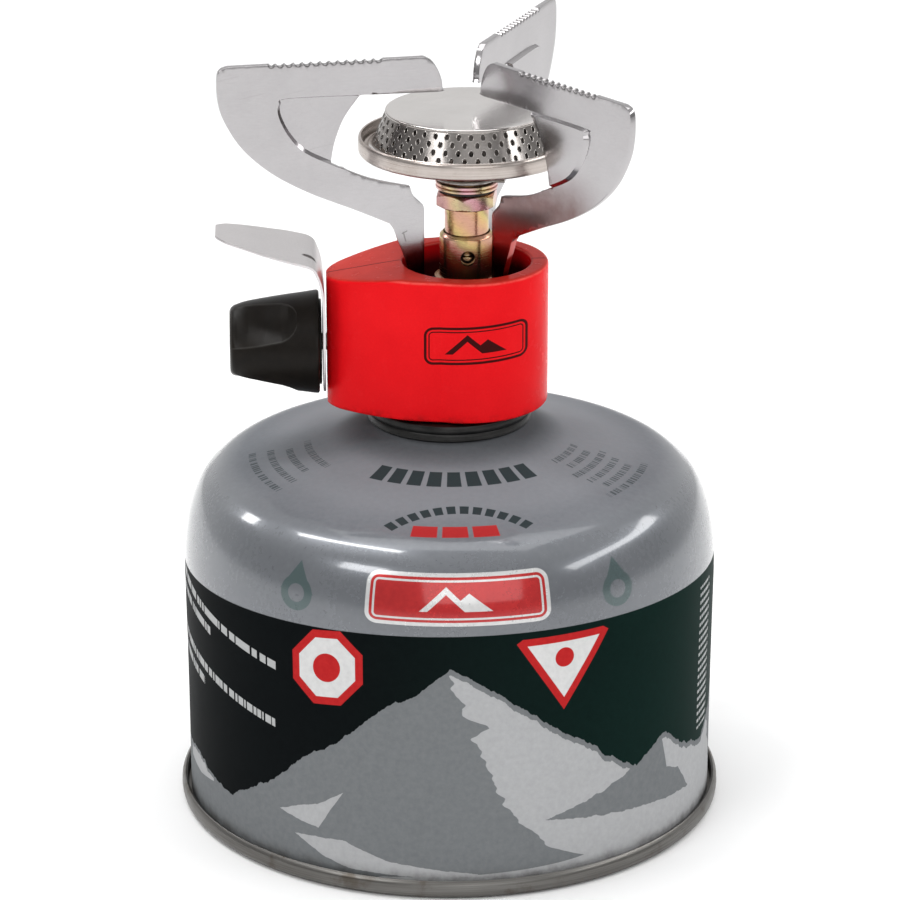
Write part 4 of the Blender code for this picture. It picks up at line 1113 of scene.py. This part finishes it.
def dense(poly, d, closed=True):
    """Extra points so that no side is longer than d."""
    out = []
    n = len(poly)
    for i in range(n if closed else n - 1):
        a, b = poly[i], poly[(i + 1) % n]
        k = max(1, int(math.ceil(math.dist(a, b) / d)))
        for j in range(k):
            out.append((a[0] + (b[0] - a[0]) * j / k, a[1] + (b[1] - a[1]) * j / k))
    if not closed:
        out.append(poly[-1])
    return out


def build_supports():
    T = ARM_TOP
    top = [(8.6, T), (16.5, T), (17.0, T - 0.24)]
    r = 17.2
    for k in range(12):
        top += [(r + 0.05, T - 0.45), (r + 0.62, T - 0.46), (r + 0.92, T - 0.16), (r + 1.15, T - 0.02), (r + 1.38, T - 0.16)]
        r += 1.75
    top += [(r + 0.05, T - 0.45), (r + 0.35, T - 0.28), (r + 0.6, T)]
    outer = smooth_line([(46.9, T), (48.5, T - 0.6), (49.2, T - 2.4), (49.1, 148.0), (47.9, 143.8), (44.5, 138.2),
                         (38.9, 133.0), (31.5, 128.6), (22.7, 124.7), (15.6, 121.4)], 6)
    leg = smooth_line([(14.8, 120.2), (13.9, 117.6), (13.0, 115.2), (12.2, 112.6)], 3)
    low = [(8.55, 112.6), (8.55, 124.2), (8.8, 124.9), (10.6, 126.7), (11.0, 127.4), (11.4, 128.8)]
    arm = smooth_line([(11.4, 128.8), (19.5, 130.9), (26.9, 134.3)], 5)[1:]
    web = smooth_line([(26.9, 134.3), (26.1, 138.4), (24.2, 143.2), (20.9, 147.7)], 5)[1:]
    tip = smooth_line([(20.9, 147.7), (6.0, 147.5), (4.9, 148.6), (5.5, 151.4), (6.9, 153.8), (8.6, T)], 5)[5:-1]
    panel = smooth_line([(19.0, 147.62), (35.2, 147.75), (36.9, 146.7), (36.95, 144.4), (35.1, 140.5), (31.9, 137.0), (25.6, 133.75)], 6)
    close = [(24.0, 132.6), (16.0, 140.0), (17.0, 147.62)]
    poly = panel + close

    def inside(p, poly=poly):
        c = False
        n = len(poly)
        for i in range(n):
            x1, y1 = poly[i]; x2, y2 = poly[(i + 1) % n]
            if (y1 > p[1]) != (y2 > p[1]) and p[0] < (x2 - x1) * (p[1] - y1) / (y2 - y1) + x1:
                c = not c
        return c
    # the pressed step: steep along the bar, a slanted wall along the arm
    corner = max(range(len(panel)), key=lambda i: panel[i][0] + panel[i][1])
    run = [0.20 + 0.10 * min(1.0, max(0.0, (i - corner) / 7.0)) for i in range(len(panel))]

    def shifted(line, sg):
        out = []
        for i, p in enumerate(line):
            a, b = line[max(i - 1, 0)], line[min(i + 1, len(line) - 1)]
            tx, ty = b[0] - a[0], b[1] - a[1]
            L = math.hypot(tx, ty)
            out.append((p[0] + ty / L * sg * run[i], p[1] - tx / L * sg * run[i]))
        return out
    g_in, g_out = shifted(panel, 1.0), shifted(panel, -1.0)

    def depth(u, w):
        near, wide = 9.0, 0.07
        for i in range(len(panel) - 1):
            a, b = panel[i], panel[i + 1]
            dx, dy = b[0] - a[0], b[1] - a[1]
            t = min(1.0, max(0.0, ((u - a[0]) * dx + (w - a[1]) * dy) / (dx * dx + dy * dy)))
            d = math.hypot(u - a[0] - t * dx, w - a[1] - t * dy)
            if d < near:
                near, wide = d, run[i] + (run[i + 1] - run[i]) * t
        if inside((u, w)):
            near = -near
        f = min(1.0, max(0.0, 0.5 - near / (2.0 * wide * 0.98)))
        return -0.9 * f

    for which, node in (("left", "pot_support_left"), ("right", "pot_support_right"), ("rear", "pot_support_rear")):
        lo, hi = bx(node)
        z0 = lo.z
        z1 = z0 + 2.3
        foot = [(12.2, z0), (7.4, z0), (7.4, z1), (8.55, z1)]
        outline = top + outer + leg + foot + low + arm + web + tip
        outline = dense(outline, 1.2)
        az = math.radians(AZ[which])
        ca, sa = math.cos(az), math.sin(az)

        def to_world(u, w, v):
            return (OX + u * ca - v * sa, u * sa + v * ca, w)
        verts, faces = sheet_mesh(outline, [(dense(g_in, 0.8, False), False), (dense(g_out, 0.8, False), False)],
                                  depth, 1.3, 1.25 if HI else 2.0, 0.14, to_world)
        ob = obj_from("support_blade_" + which, verts, faces, [M_ARM[which]], 38)
        place(ob, "stove" if which == "left" else "support_" + which, "stainless", node)


# ---------------------------------------------------------------- heat shield
def build_shield():
    st = [(-24.7, 87.6), (-24.7, 90.0), (-24.7, 96.3), (-24.7, 104.5), (-25.05, 109.5), (-25.9, 112.8), (-27.3, 114.9),
          (-31.3, 116.1), (-36.0, 117.2), (-40.3, 118.3), (-44.2, 119.2), (-45.6, 119.55), (-46.1, 119.65)]
    line = smooth_line(st, 8)
    S = [0.0]
    for a, b in zip(line, line[1:]):
        S.append(S[-1] + math.dist(a, b))
    total = S[-1]

    def at(s):
        s = min(max(s, 0.0), total)
        for i in range(len(S) - 1):
            if s <= S[i + 1]:
                t = (s - S[i]) / (S[i + 1] - S[i])
                a, b = line[i], line[i + 1]
                tx, tz = b[0] - a[0], b[1] - a[1]
                L = math.hypot(tx, tz)
                return (a[0] + (b[0] - a[0]) * t, a[1] + (b[1] - a[1]) * t, -tz / L, tx / L)
        return (*line[-1], 0.0, 1.0)
    s_bend = 0.0
    for i, p in enumerate(line):
        if p[1] > 114.8:
            s_bend = S[i]
            break
    half = [(0.0, 5.0), (0.5, 6.6), (2.4, 8.3), (8.7, 9.4), (17.0, 9.6), (22.0, 9.9), (25.3, 10.2), (s_bend, 10.5), (s_bend + 3.6, 10.45),
            (s_bend + 8.4, 9.45), (s_bend + 12.8, 8.0), (s_bend + 16.8, 6.4), (s_bend + 18.2, 5.3), (total, 3.7)]
    up = smooth_line([(w, s) for s, w in half], 5)
    outline = up + [(-w, s) for w, s in up[::-1]]
    outline = rounded(outline, 0.8, 3)
    hole = [(2.4 * math.cos(TAU * k / 28), (Z_KNOB - 87.6) + 2.4 * math.sin(TAU * k / 28)) for k in range(28)]
    slot = None

    def to_world(w, s, v):
        x, z, nx, nz = at(s)
        # the sheet lies on the knob side of the line
        return (x + nx * (v + 0.25), -w, z + nz * (v + 0.25))
    verts, faces = sheet_mesh(dense(outline, 1.0), [], lambda u, w: 0.0, 0.5, 0.9 if HI else 1.6, 0.10, to_world, hole)
    ob = obj_from("knob_shield", verts, faces, [M_SHIELD], 40)
    # small slot beside the bend
    x, z, nx, nz = at(s_bend + 0.3)
    v, f = [], []
    L, W = 1.35, 0.55
    ring = []
    for k in range(24):
        a = TAU * k / 24
        cx = (L - W) * (1 if math.cos(a) > 0 else -1)
        ring.append((cx + W * math.cos(a), W * math.sin(a)))
    tx, tz = nz, -nx
    for h in (-2.0, 2.0):
        for a, b in ring:
            # long way along the sheet, short way across it
            v.append((x + tx * a + nx * h, -3.6 + b, z + tz * a + nz * h))
    f = [tuple(range(24))[::-1], tuple(range(24, 48))] + [(k, (k + 1) % 24, 24 + (k + 1) % 24, 24 + k) for k in range(24)]
    cut = obj_from("c", v, f, [])
    boolean_now(ob, [cut])
    if len(ob.data.materials) == 0:
        ob.data.materials.append(M_SHIELD)
    ob.data.shade_smooth()
    ob.data.set_sharp_from_angle(angle=math.radians(40))
    place(ob, "stove", "stainless", "heat_shield")


# ---------------------------------------------------------------- valve spring
def build_spring():
    """Round wire coil with closed end turns, under the valve stem."""
    lo, hi = bx("valve_spring")
    wire = 0.3
    rc = (hi.x - lo.x) / 2 - wire - 0.02
    z0, z1 = lo.z + wire + 0.01, hi.z - wire - 0.01
    steps, sides, turns = 24, 10, 4.5
    total = int(turns * steps)
    verts, faces = [], []
    for i in range(total + 1):
        t = i / total
        # flat for half a turn at each end, steady pitch between
        e = 0.5 / turns
        k = min(1.0, max(0.0, (t - e) / (1.0 - 2.0 * e)))
        a = TAU * turns * t
        zc = z0 + (z1 - z0) * (0.06 * t + 0.94 * k)
        for j in range(sides):
            b = TAU * j / sides
            r = rc + wire * math.cos(b)
            verts.append((r * math.cos(a), r * math.sin(a), zc + wire * math.sin(b)))
    for i in range(total):
        for j in range(sides):
            k = (j + 1) % sides
            faces.append((i * sides + j, i * sides + k, (i + 1) * sides + k, (i + 1) * sides + j))
    faces.append(tuple(range(sides))[::-1])
    faces.append(tuple(total * sides + j for j in range(sides)))
    ob = obj_from("stem_spring", verts, faces, [M_SCREW], 50)
    place(ob, "canister", "stainless", "valve_spring")
    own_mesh(ob)


# ---------------------------------------------------------------- knob
def build_knob():
    L = KNOB_X0 - KNOB_OUT
    land = smooth_line([(0.0, 9.85), (0.008, 10.12), (0.03, 10.28), (0.10, 10.12), (0.19, 9.9), (0.465, 9.25), (0.79, 8.3), (0.92, 7.62),
                        (0.96, 7.3), (0.985, 6.9), (1.0, 6.3)], 7)
    wide = [(0.0, 9.0), (0.255, 9.0), (0.27, 13.0), (0.29, 17.0), (0.34, 22.5), (0.42, 27.0), (0.7, 32.5), (1.0, 37.0)]
    deep = [(0.0, 0.0), (0.25, 0.0), (0.27, 0.30), (0.30, 0.65), (0.34, 1.05), (0.42, 1.45), (0.6, 1.65), (0.79, 1.5), (0.92, 1.05), (0.985, 0.7), (1.0, 0.55)]

    def along(table, x):
        for (x0, y0), (x1, y1) in zip(table, table[1:]):
            if x <= x1:
                return y0 + (y1 - y0) * (x - x0) / max(1e-9, x1 - x0)
        return table[-1][1]
    k1, k2 = (32, 22) if HI else (16, 10)
    verts, faces, rows = [], [], []

    def add(x, s, flat_r=None):
        row = []
        for c in (45.0, 165.0, 285.0):
            half = along(wide, s) if flat_r is None else 37.0
            dp = along(deep, s)
            pts = [(c + half * (2.0 * k / k1 - 1.0), dp * (1.0 - (2.0 * k / k1 - 1.0) ** 2)) for k in range(k1 + 1)]
            pts += [(c + half + (120.0 - 2 * half) * k / k2, 0.0) for k in range(1, k2)]
            for deg, d in pts:
                a = math.radians(deg)
                r = (along(land, s) - d) if flat_r is None else flat_r
                verts.append((x, -r * math.cos(a), Z_KNOB + r * math.sin(a)))
                row.append(len(verts) - 1)
        rows.append(row)
    for x, r in ((KNOB_IN, 2.0), (KNOB_IN, 5.0), (KNOB_IN, 8.35), (KNOB_IN - 0.1, 8.5), (KNOB_X0, 8.5), (KNOB_X0, 9.4)):
        add(x, 0.0, r)
    S = [p[0] for p in land] + [0.25 + 0.74 * k / 40 for k in range(41)]
    S = sorted(set(round(v, 4) for v in S))
    for v in S:
        add(KNOB_X0 - L * v, v)
    for r, dx in ((5.2, 0.0), (4.9, 0.12), (4.4, 0.35), (3.5, 0.4), (3.2, 0.55), (3.2, 2.0), (1.4, 2.2), (1.4, 4.6), (2.0, 4.9)):
        add(KNOB_OUT + dx, 1.0, r)
    n = len(rows[0])
    for A, B in zip(rows, rows[1:] + rows[:1]):
        for k in range(n):
            j = (k + 1) % n
            faces.append((A[k], A[j], B[j], B[k]))
    ob = obj_from("finger_knob", verts, faces, [M_KNOB], 24)
    place(ob, "knob", "black_plastic", "control_knob")


# ---------------------------------------------------------------- burner column
def build_column():
    seg = 96
    tube = rounded([(0.8, 103.2), (2.8, 103.2), (2.9, 109.1), (6.4, 109.1), (6.4, 109.9), (5.35, 109.95), (5.35, 118.3), (4.62, 119.0),
                    (4.62, 117.0), (3.9, 116.9), (3.9, 110.3), (0.8, 110.3)], 0.16, 3)
    tube = dense(tube, 1.0)
    ob = lathe("air_tube", tube, [M_ZINC], seg, 35, cx=OX)
    cuts = []
    for az in (270.0, 30.0, 150.0):
        v, f = lathe_data([(0, 3.0), (1.45, 3.0), (1.45, 5.12), (1.62, 5.5), (1.62, 7.5), (0, 7.5)], 40)
        R = Matrix.Rotation(math.radians(az), 3, "Z") @ Matrix(((0, 0, 1), (0, 1, 0), (-1, 0, 0)))
        v = [tuple(R @ Vector(p) + Vector((OX, 0, 114.7))) for p in v]
        cuts.append(obj_from("c", v, f, []))
    boolean_now(ob, cuts)
    if len(ob.data.materials) == 0:
        ob.data.materials.append(M_ZINC)
    ob.data.shade_smooth()
    ob.data.set_sharp_from_angle(angle=math.radians(35))
    place(ob, "stove", "yellow_plate", "burner_tube")

    jet = rounded([(0.35, 110.6), (2.6, 110.6), (2.6, 112.9), (2.9, 113.1), (2.9, 114.2), (2.15, 114.35), (2.15, 115.0), (2.6, 115.15),
                   (2.6, 115.6), (1.9, 116.0), (0.35, 116.0)], 0.12, 2)
    ob = lathe("jet_nozzle", jet, [M_ZINC2], 64, 35, cx=OX)
    place(ob, "stove", "yellow_plate", "gas_jet")

    mix = rounded([(3.4, 117.3), (4.35, 117.3), (4.35, 130.8), (3.4, 130.8)], 0.15, 2)
    ob = lathe("upper_tube", dense(mix, 1.2), [M_ZINC], seg, 35, cx=OX)
    place(ob, "stove", "yellow_plate", "mixing_tube")

    # hexagon nut with chamfered corners
    rc, z0, z1, n = 6.45, 124.3, 127.2, 180
    verts, rows, faces = [], [], []
    ap = rc * math.cos(math.radians(30))
    a_off = math.radians(-100 + 30)
    levels = [(z0, 4.65), (z0, 5.5)] + [(z0 + 0.16 * k, ap - 0.12 + 0.27 * k) for k in range(5)] + [(z0 + 1.0, 99), (z1 - 1.0, 99)] + \
             [(z1 - 0.16 * (4 - k), ap - 0.12 + 0.27 * (4 - k)) for k in range(5)] + [(z1, 5.5), (z1, 4.65)]
    for z, lim in levels:
        row = []
        for k in range(n):
            a = TAU * k / n
            d = (a - a_off + math.radians(30)) % math.radians(60) - math.radians(30)
            hexr = ap / math.cos(d)
            r = min(hexr, lim)
            verts.append((OX + r * math.cos(a), r * math.sin(a), z))
            row.append(len(verts) - 1)
        rows.append(row)
    for A, B in zip(rows, rows[1:] + rows[:1]):
        for k in range(n):
            j = (k + 1) % n
            faces.append((A[k], A[j], B[j], B[k]))
    ob = obj_from("hex_nut", verts, faces, [M_ZINC2], 14)
    place(ob, "stove", "yellow_plate", "column_nut")

    ring = [(5.15 + 0.28 * math.cos(TAU * k / 16), 127.6 + 0.28 * math.sin(TAU * k / 16)) for k in range(16)]
    ob = lathe("black_ring", ring, [M_RUB], 96, 60, cx=OX)
    place(ob, "stove", "rubber", "column_o_ring")

    col = rounded([(4.65, 128.0), (6.15, 128.0), (6.15, 128.52), (5.72, 128.66), (6.15, 128.8), (6.15, 129.35), (4.65, 129.35)], 0.12, 3)
    ob = lathe("grooved_collar", col, [M_ZINC2], seg, 35, cx=OX)
    place(ob, "stove", "yellow_plate", "burner_collar")

    # wire clip
    pts = []
    for k in range(61):
        a = math.radians(20 + 300 * k / 60)
        pts.append(Vector((OX + 6.0 * math.cos(a), 6.0 * math.sin(a), 130.15)))
    a = math.radians(320)
    d = Vector((-math.sin(a), math.cos(a), 0)) * 0.55 + Vector((math.cos(a), math.sin(a), 0)) * 0.85
    last = pts[-1]
    pts += [last + d * t for t in (0.5, 1.1, 1.8, 2.6)]
    verts, faces, rows = [], [], []
    for i, p in enumerate(pts):
        t = (pts[min(i + 1, len(pts) - 1)] - pts[max(i - 1, 0)]).normalized()
        s = t.cross(Vector((0, 0, 1))).normalized()
        u = s.cross(t)
        row = []
        for k in range(14):
            verts.append(tuple(p + 0.32 * (s * math.cos(TAU * k / 14) + u * math.sin(TAU * k / 14))))
            row.append(len(verts) - 1)
        rows.append(row)
    for A, B in zip(rows, rows[1:]):
        for k in range(14):
            j = (k + 1) % 14
            faces.append((A[k], A[j], B[j], B[k]))
    faces.append(tuple(rows[0][::-1]))
    faces.append(tuple(rows[-1]))
    ob = obj_from("wire_clip", verts, faces, [M_SCREW], 40)
    place(ob, "stove", "stainless", "retaining_clip")


def build_head():
    dish = [(4.75, 129.65), (5.5, 129.65), (5.5, 131.0), (5.8, 131.5), (6.6, 131.95), (9.6, 132.7), (13.0, 133.45), (17.0, 134.3), (20.2, 134.98),
            (20.95, 135.25), (21.25, 135.65), (R_RIM, 136.2), (R_RIM, 137.6), (21.25, 138.1), (21.1, Z_RIM - 0.15), (20.9, Z_RIM),
            (20.68, Z_RIM - 0.12), (20.55, Z_RIM - 0.5), (20.5, 136.9), (20.3, 136.35), (19.6, 136.0), (16.5, 135.2), (12.8, 134.3), (9.4, 133.5), (6.2, 132.9), (5.0, 132.4), (4.75, 131.9)]
    ob = lathe("rimmed_dish", dish, [M_DISH], 184, 35, cx=OX)
    place(ob, "stove", "burner_steel", "burner_dish")

    # cap: turned top and foot with a perforated cone between them
    nC = 44
    seg = nC * 6
    top_z, bot_z = 143.27, 137.47
    def cone_r(z):
        return 18.42 + (15.98 - 18.42) * (z - 137.2) / (143.0 - 137.2)
    th = 0.45
    nrm = Vector((5.8, 2.44)).normalized()      # outward normal in (r, z)

    def surf(a, z, d):
        r = cone_r(z) + nrm.x * d
        zz = z + nrm.y * d
        return (OX + r * math.cos(a), r * math.sin(a), zz)
    verts, faces = [], []
    key = {}

    def vid(p):
        k = (round(p[0], 4), round(p[1], 4), round(p[2], 4))
        if k not in key:
            key[k] = len(verts)
            verts.append(p)
        return key[k]
    rows_z = [142.42, 140.99, 139.56, 138.13]
    hb = 0.715
    pitch = TAU / nC
    for ri, zc in enumerate(rows_z):
        off = 0.0 if ri % 2 == 0 else 0.5
        for j in range(nC):
            ac = (j + off) * pitch
            loop = []
            for k in range(6):
                loop.append((-0.5 + k / 6, -1.0))
            for k in range(6):
                loop.append((0.5, -1.0 + 2 * k / 6))
            for k in range(6):
                loop.append((0.5 - k / 6, 1.0))
            for k in range(6):
                loop.append((-0.5, 1.0 - 2 * k / 6))
            wob = 0.03 * math.sin(j * 12.9898 + ri * 78.233)
            hw, hh = 0.42 + wob * 0.5, 0.56 + wob * 0.2
            rc = cone_r(zc)
            rings = []
            rings.append([vid(surf(ac + u * pitch, zc + v * hb, 0.0)) for u, v in loop])
            for ea, eb, d in ((0.150, 0.138, 0.0), (0.12, 0.112, 0.006), (0.07, 0.07, 0.06), (0.02, 0.02, 0.065), (-0.015, -0.015, 0.0), (-0.02, -0.02, -0.12), (-0.02, -0.02, -th)):
                row = []
                for u, v in loop:
                    ph = math.atan2(v, u * 2.0)
                    row.append(vid(surf(ac + (hw + ea) * math.cos(ph) / rc, zc + (hh + eb) * math.sin(ph), d)))
                rings.append(row)
            rings.append([vid(surf(ac + u * pitch, zc + v * hb, -th)) for u, v in loop])
            for A, B in zip(rings, rings[1:]):
                for k in range(24):
                    q = (k + 1) % 24
                    if len({A[k], A[q], B[q], B[k]}) == 4:
                        faces.append((A[k], A[q], B[q], B[k]))
    a_list = [k * pitch / 6 for k in range(seg)]

    def ring_at(z, d):
        return [vid(surf(a - 0.5 * pitch, z, d)) for a in a_list]

    def ring_rz(r, z):
        return [vid((OX + r * math.cos(a - 0.5 * pitch), r * math.sin(a - 0.5 * pitch), z)) for a in a_list]
    outer_top = ring_at(rows_z[0] + hb, 0.0)
    inner_top = ring_at(rows_z[0] + hb, -th)
    outer_bot = ring_at(rows_z[-1] - hb, 0.0)
    inner_bot = ring_at(rows_z[-1] - hb, -th)

    def strip(chain):
        for A, B in zip(chain, chain[1:]):
            for k in range(seg):
                q = (k + 1) % seg
                f = []
                for i in (A[k], A[q], B[q], B[k]):
                    if i not in f:
                        f.append(i)
                if len(f) >= 3:
                    faces.append(tuple(f))
    topc = vid((OX, 0.0, Z_CAP - 0.02))
    chain = [outer_top] + [ring_rz(r, z) for r, z in ((15.94, 143.36), (15.98, 143.5), (15.9, 143.68), (15.7, 143.78), (15.3, Z_CAP), (13.5, Z_CAP), (10.0, Z_CAP - 0.01), (5.0, Z_CAP - 0.02))]
    strip(chain)
    last = chain[-1]
    for k in range(seg):
        faces.append((last[k], last[(k + 1) % seg], topc))
    botc = vid((OX, 0.0, Z_CAP - 0.5))
    chain = [inner_top] + [ring_rz(r, z) for r, z in ((15.2, 143.25), (13.0, Z_CAP - 0.5), (6.0, Z_CAP - 0.5))]
    strip(chain)
    last = chain[-1]
    for k in range(seg):
        faces.append((last[(k + 1) % seg], last[k], botc))
    chain = [outer_bot] + [ring_rz(r, z) for r, z in ((18.45, 137.28), (18.65, 137.0), (19.1, 136.88), (19.45, 136.8), (19.5, 136.6), (19.4, 136.42), (18.7, 136.25), (18.1, 136.3), (17.95, 136.7))] + [inner_bot]
    strip(chain)
    ob = obj_from("perforated_cap", verts, faces, [M_CAP], 34)
    # the plain metal between the ports keeps the cone's own direction
    nn = []
    for v in ob.data.vertices:
        x, y, z = v.co.x / MM - OX, v.co.y / MM, v.co.z / MM
        r = math.hypot(x, y)
        if rows_z[-1] - hb - 0.01 < z < rows_z[0] + hb + 0.01 and abs(r - cone_r(z)) < 0.012:
            nn.append((nrm.x * x / r, nrm.x * y / r, nrm.y))
        else:
            nn.append((0.0, 0.0, 0.0))
    ob.data.normals_split_custom_set_from_vertices(nn)
    place(ob, "stove", "burner_steel", "burner_cap")


build_canister()
build_housing()
build_supports()
build_shield()
build_knob()
build_spring()
build_column()
build_head()


# ---------------------------------------------------------------- stage, light, camera
SKY = (0.34, 0.46, 0.40)


def stage():
    m = bpy.data.materials.new("studio_floor")
    m.use_nodes = True
    b = m.node_tree.nodes["Principled BSDF"]
    b.inputs["Base Color"].default_value = (0.93, 0.93, 0.93, 1)
    b.inputs["Roughness"].default_value = 0.75
    me = bpy.data.meshes.new("studio_floor")
    s = 6.0
    me.from_pydata([(-s, -s, -0.0002), (s, -s, -0.0002), (s, s, -0.0002), (-s, s, -0.0002)], [], [(0, 1, 2, 3)])
    me.materials.append(m)
    ob = bpy.data.objects.new("studio_floor", me)
    bpy.context.scene.collection.objects.link(ob)

    w = bpy.data.worlds.new("studio")
    bpy.context.scene.world = w
    w.use_nodes = True
    bg = w.node_tree.nodes["Background"]
    t = w.node_tree
    tc = t.nodes.new("ShaderNodeTexCoord")
    sp = t.nodes.new("ShaderNodeSeparateXYZ")
    t.links.new(tc.outputs["Generated"], sp.inputs[0])
    up = N(t, sp.outputs[2]).max(0.0)
    back = N(t, sp.outputs[1])
    sky = up.step(0.25, 0.95) * SKY[1] + SKY[0] + back.step(-0.1, 0.9) * (1.0 - up.step(0.4, 0.85)) * SKY[2]
    t.links.new(sky.s, bg.inputs["Color"])
    bg.inputs["Strength"].default_value = 1.0

    def area(name, loc, target, size, power, size_y=None, col=(1, 1, 1)):
        L = bpy.data.lights.new(name, "AREA")
        L.energy = power
        L.color = col
        L.size = size
        if size_y:
            L.shape = "RECTANGLE"
            L.size_y = size_y
        o = bpy.data.objects.new(name, L)
        o.location = loc
        o.rotation_euler = (Vector(target) - Vector(loc)).to_track_quat("-Z", "Y").to_euler()
        bpy.context.scene.collection.objects.link(o)
    c = (0, 0, 0.08)
    def strip(name, a, b, dist, width, power):
        """A long narrow panel between two directions from the object, facing it."""
        A, B = Vector(a).normalized() * dist, Vector(b).normalized() * dist
        mid = (A + B) / 2
        z = mid.normalized()
        x = (B - A) - z * (B - A).dot(z)
        size = x.length
        x.normalize()
        y = z.cross(x)
        L = bpy.data.lights.new(name, "AREA")
        L.shape = "RECTANGLE"
        L.size, L.size_y, L.energy = size, width, power
        o = bpy.data.objects.new(name, L)
        R = Matrix((x, y, z)).transposed().to_4x4()
        o.matrix_world = Matrix.Translation(mid + Vector((0, 0, 0.06))) @ R
        bpy.context.scene.collection.objects.link(o)
    area("key_left", (-0.75, -0.75, 0.85), c, 0.42, 3.6, 0.30)
    area("top", (0.05, 0.25, 1.10), c, 0.9, 3.6, 0.7)
    area("front", (0.15, -1.15, 0.45), c, 0.9, 2.4, 0.5)
    strip("strip_left", (-0.226, -0.134, 0.965), (-0.59, 0.22, 0.78), 1.15, 0.07, 3.2)
    strip("blob_left", (-0.66, 0.42, 0.58), (-0.69, 0.54, 0.54), 1.15, 0.12, 0.75)
    strip("strip_right", (0.717, -0.556, 0.411), (0.712, 0.437, 0.549), 1.0, 0.12, 2.5)


stage()

cd = bpy.data.cameras.new("camera")
cd.lens = 161.16
cd.sensor_width = 36.0
cd.clip_start = 0.02
cam = bpy.data.objects.new("camera", cd)
th, yaw = math.radians(20.431), math.radians(2.595)
cam.location = (-0.03425, -0.75826, 0.35552)
fwd = Vector((math.sin(yaw) * math.cos(th), math.cos(yaw) * math.cos(th), -math.sin(th)))
cam.rotation_euler = fwd.to_track_quat("-Z", "Y").to_euler()
bpy.context.scene.collection.objects.link(cam)
bpy.context.scene.camera = cam
bpy.context.scene.view_settings.view_transform = "Standard"
bpy.context.scene.view_settings.look = "None"
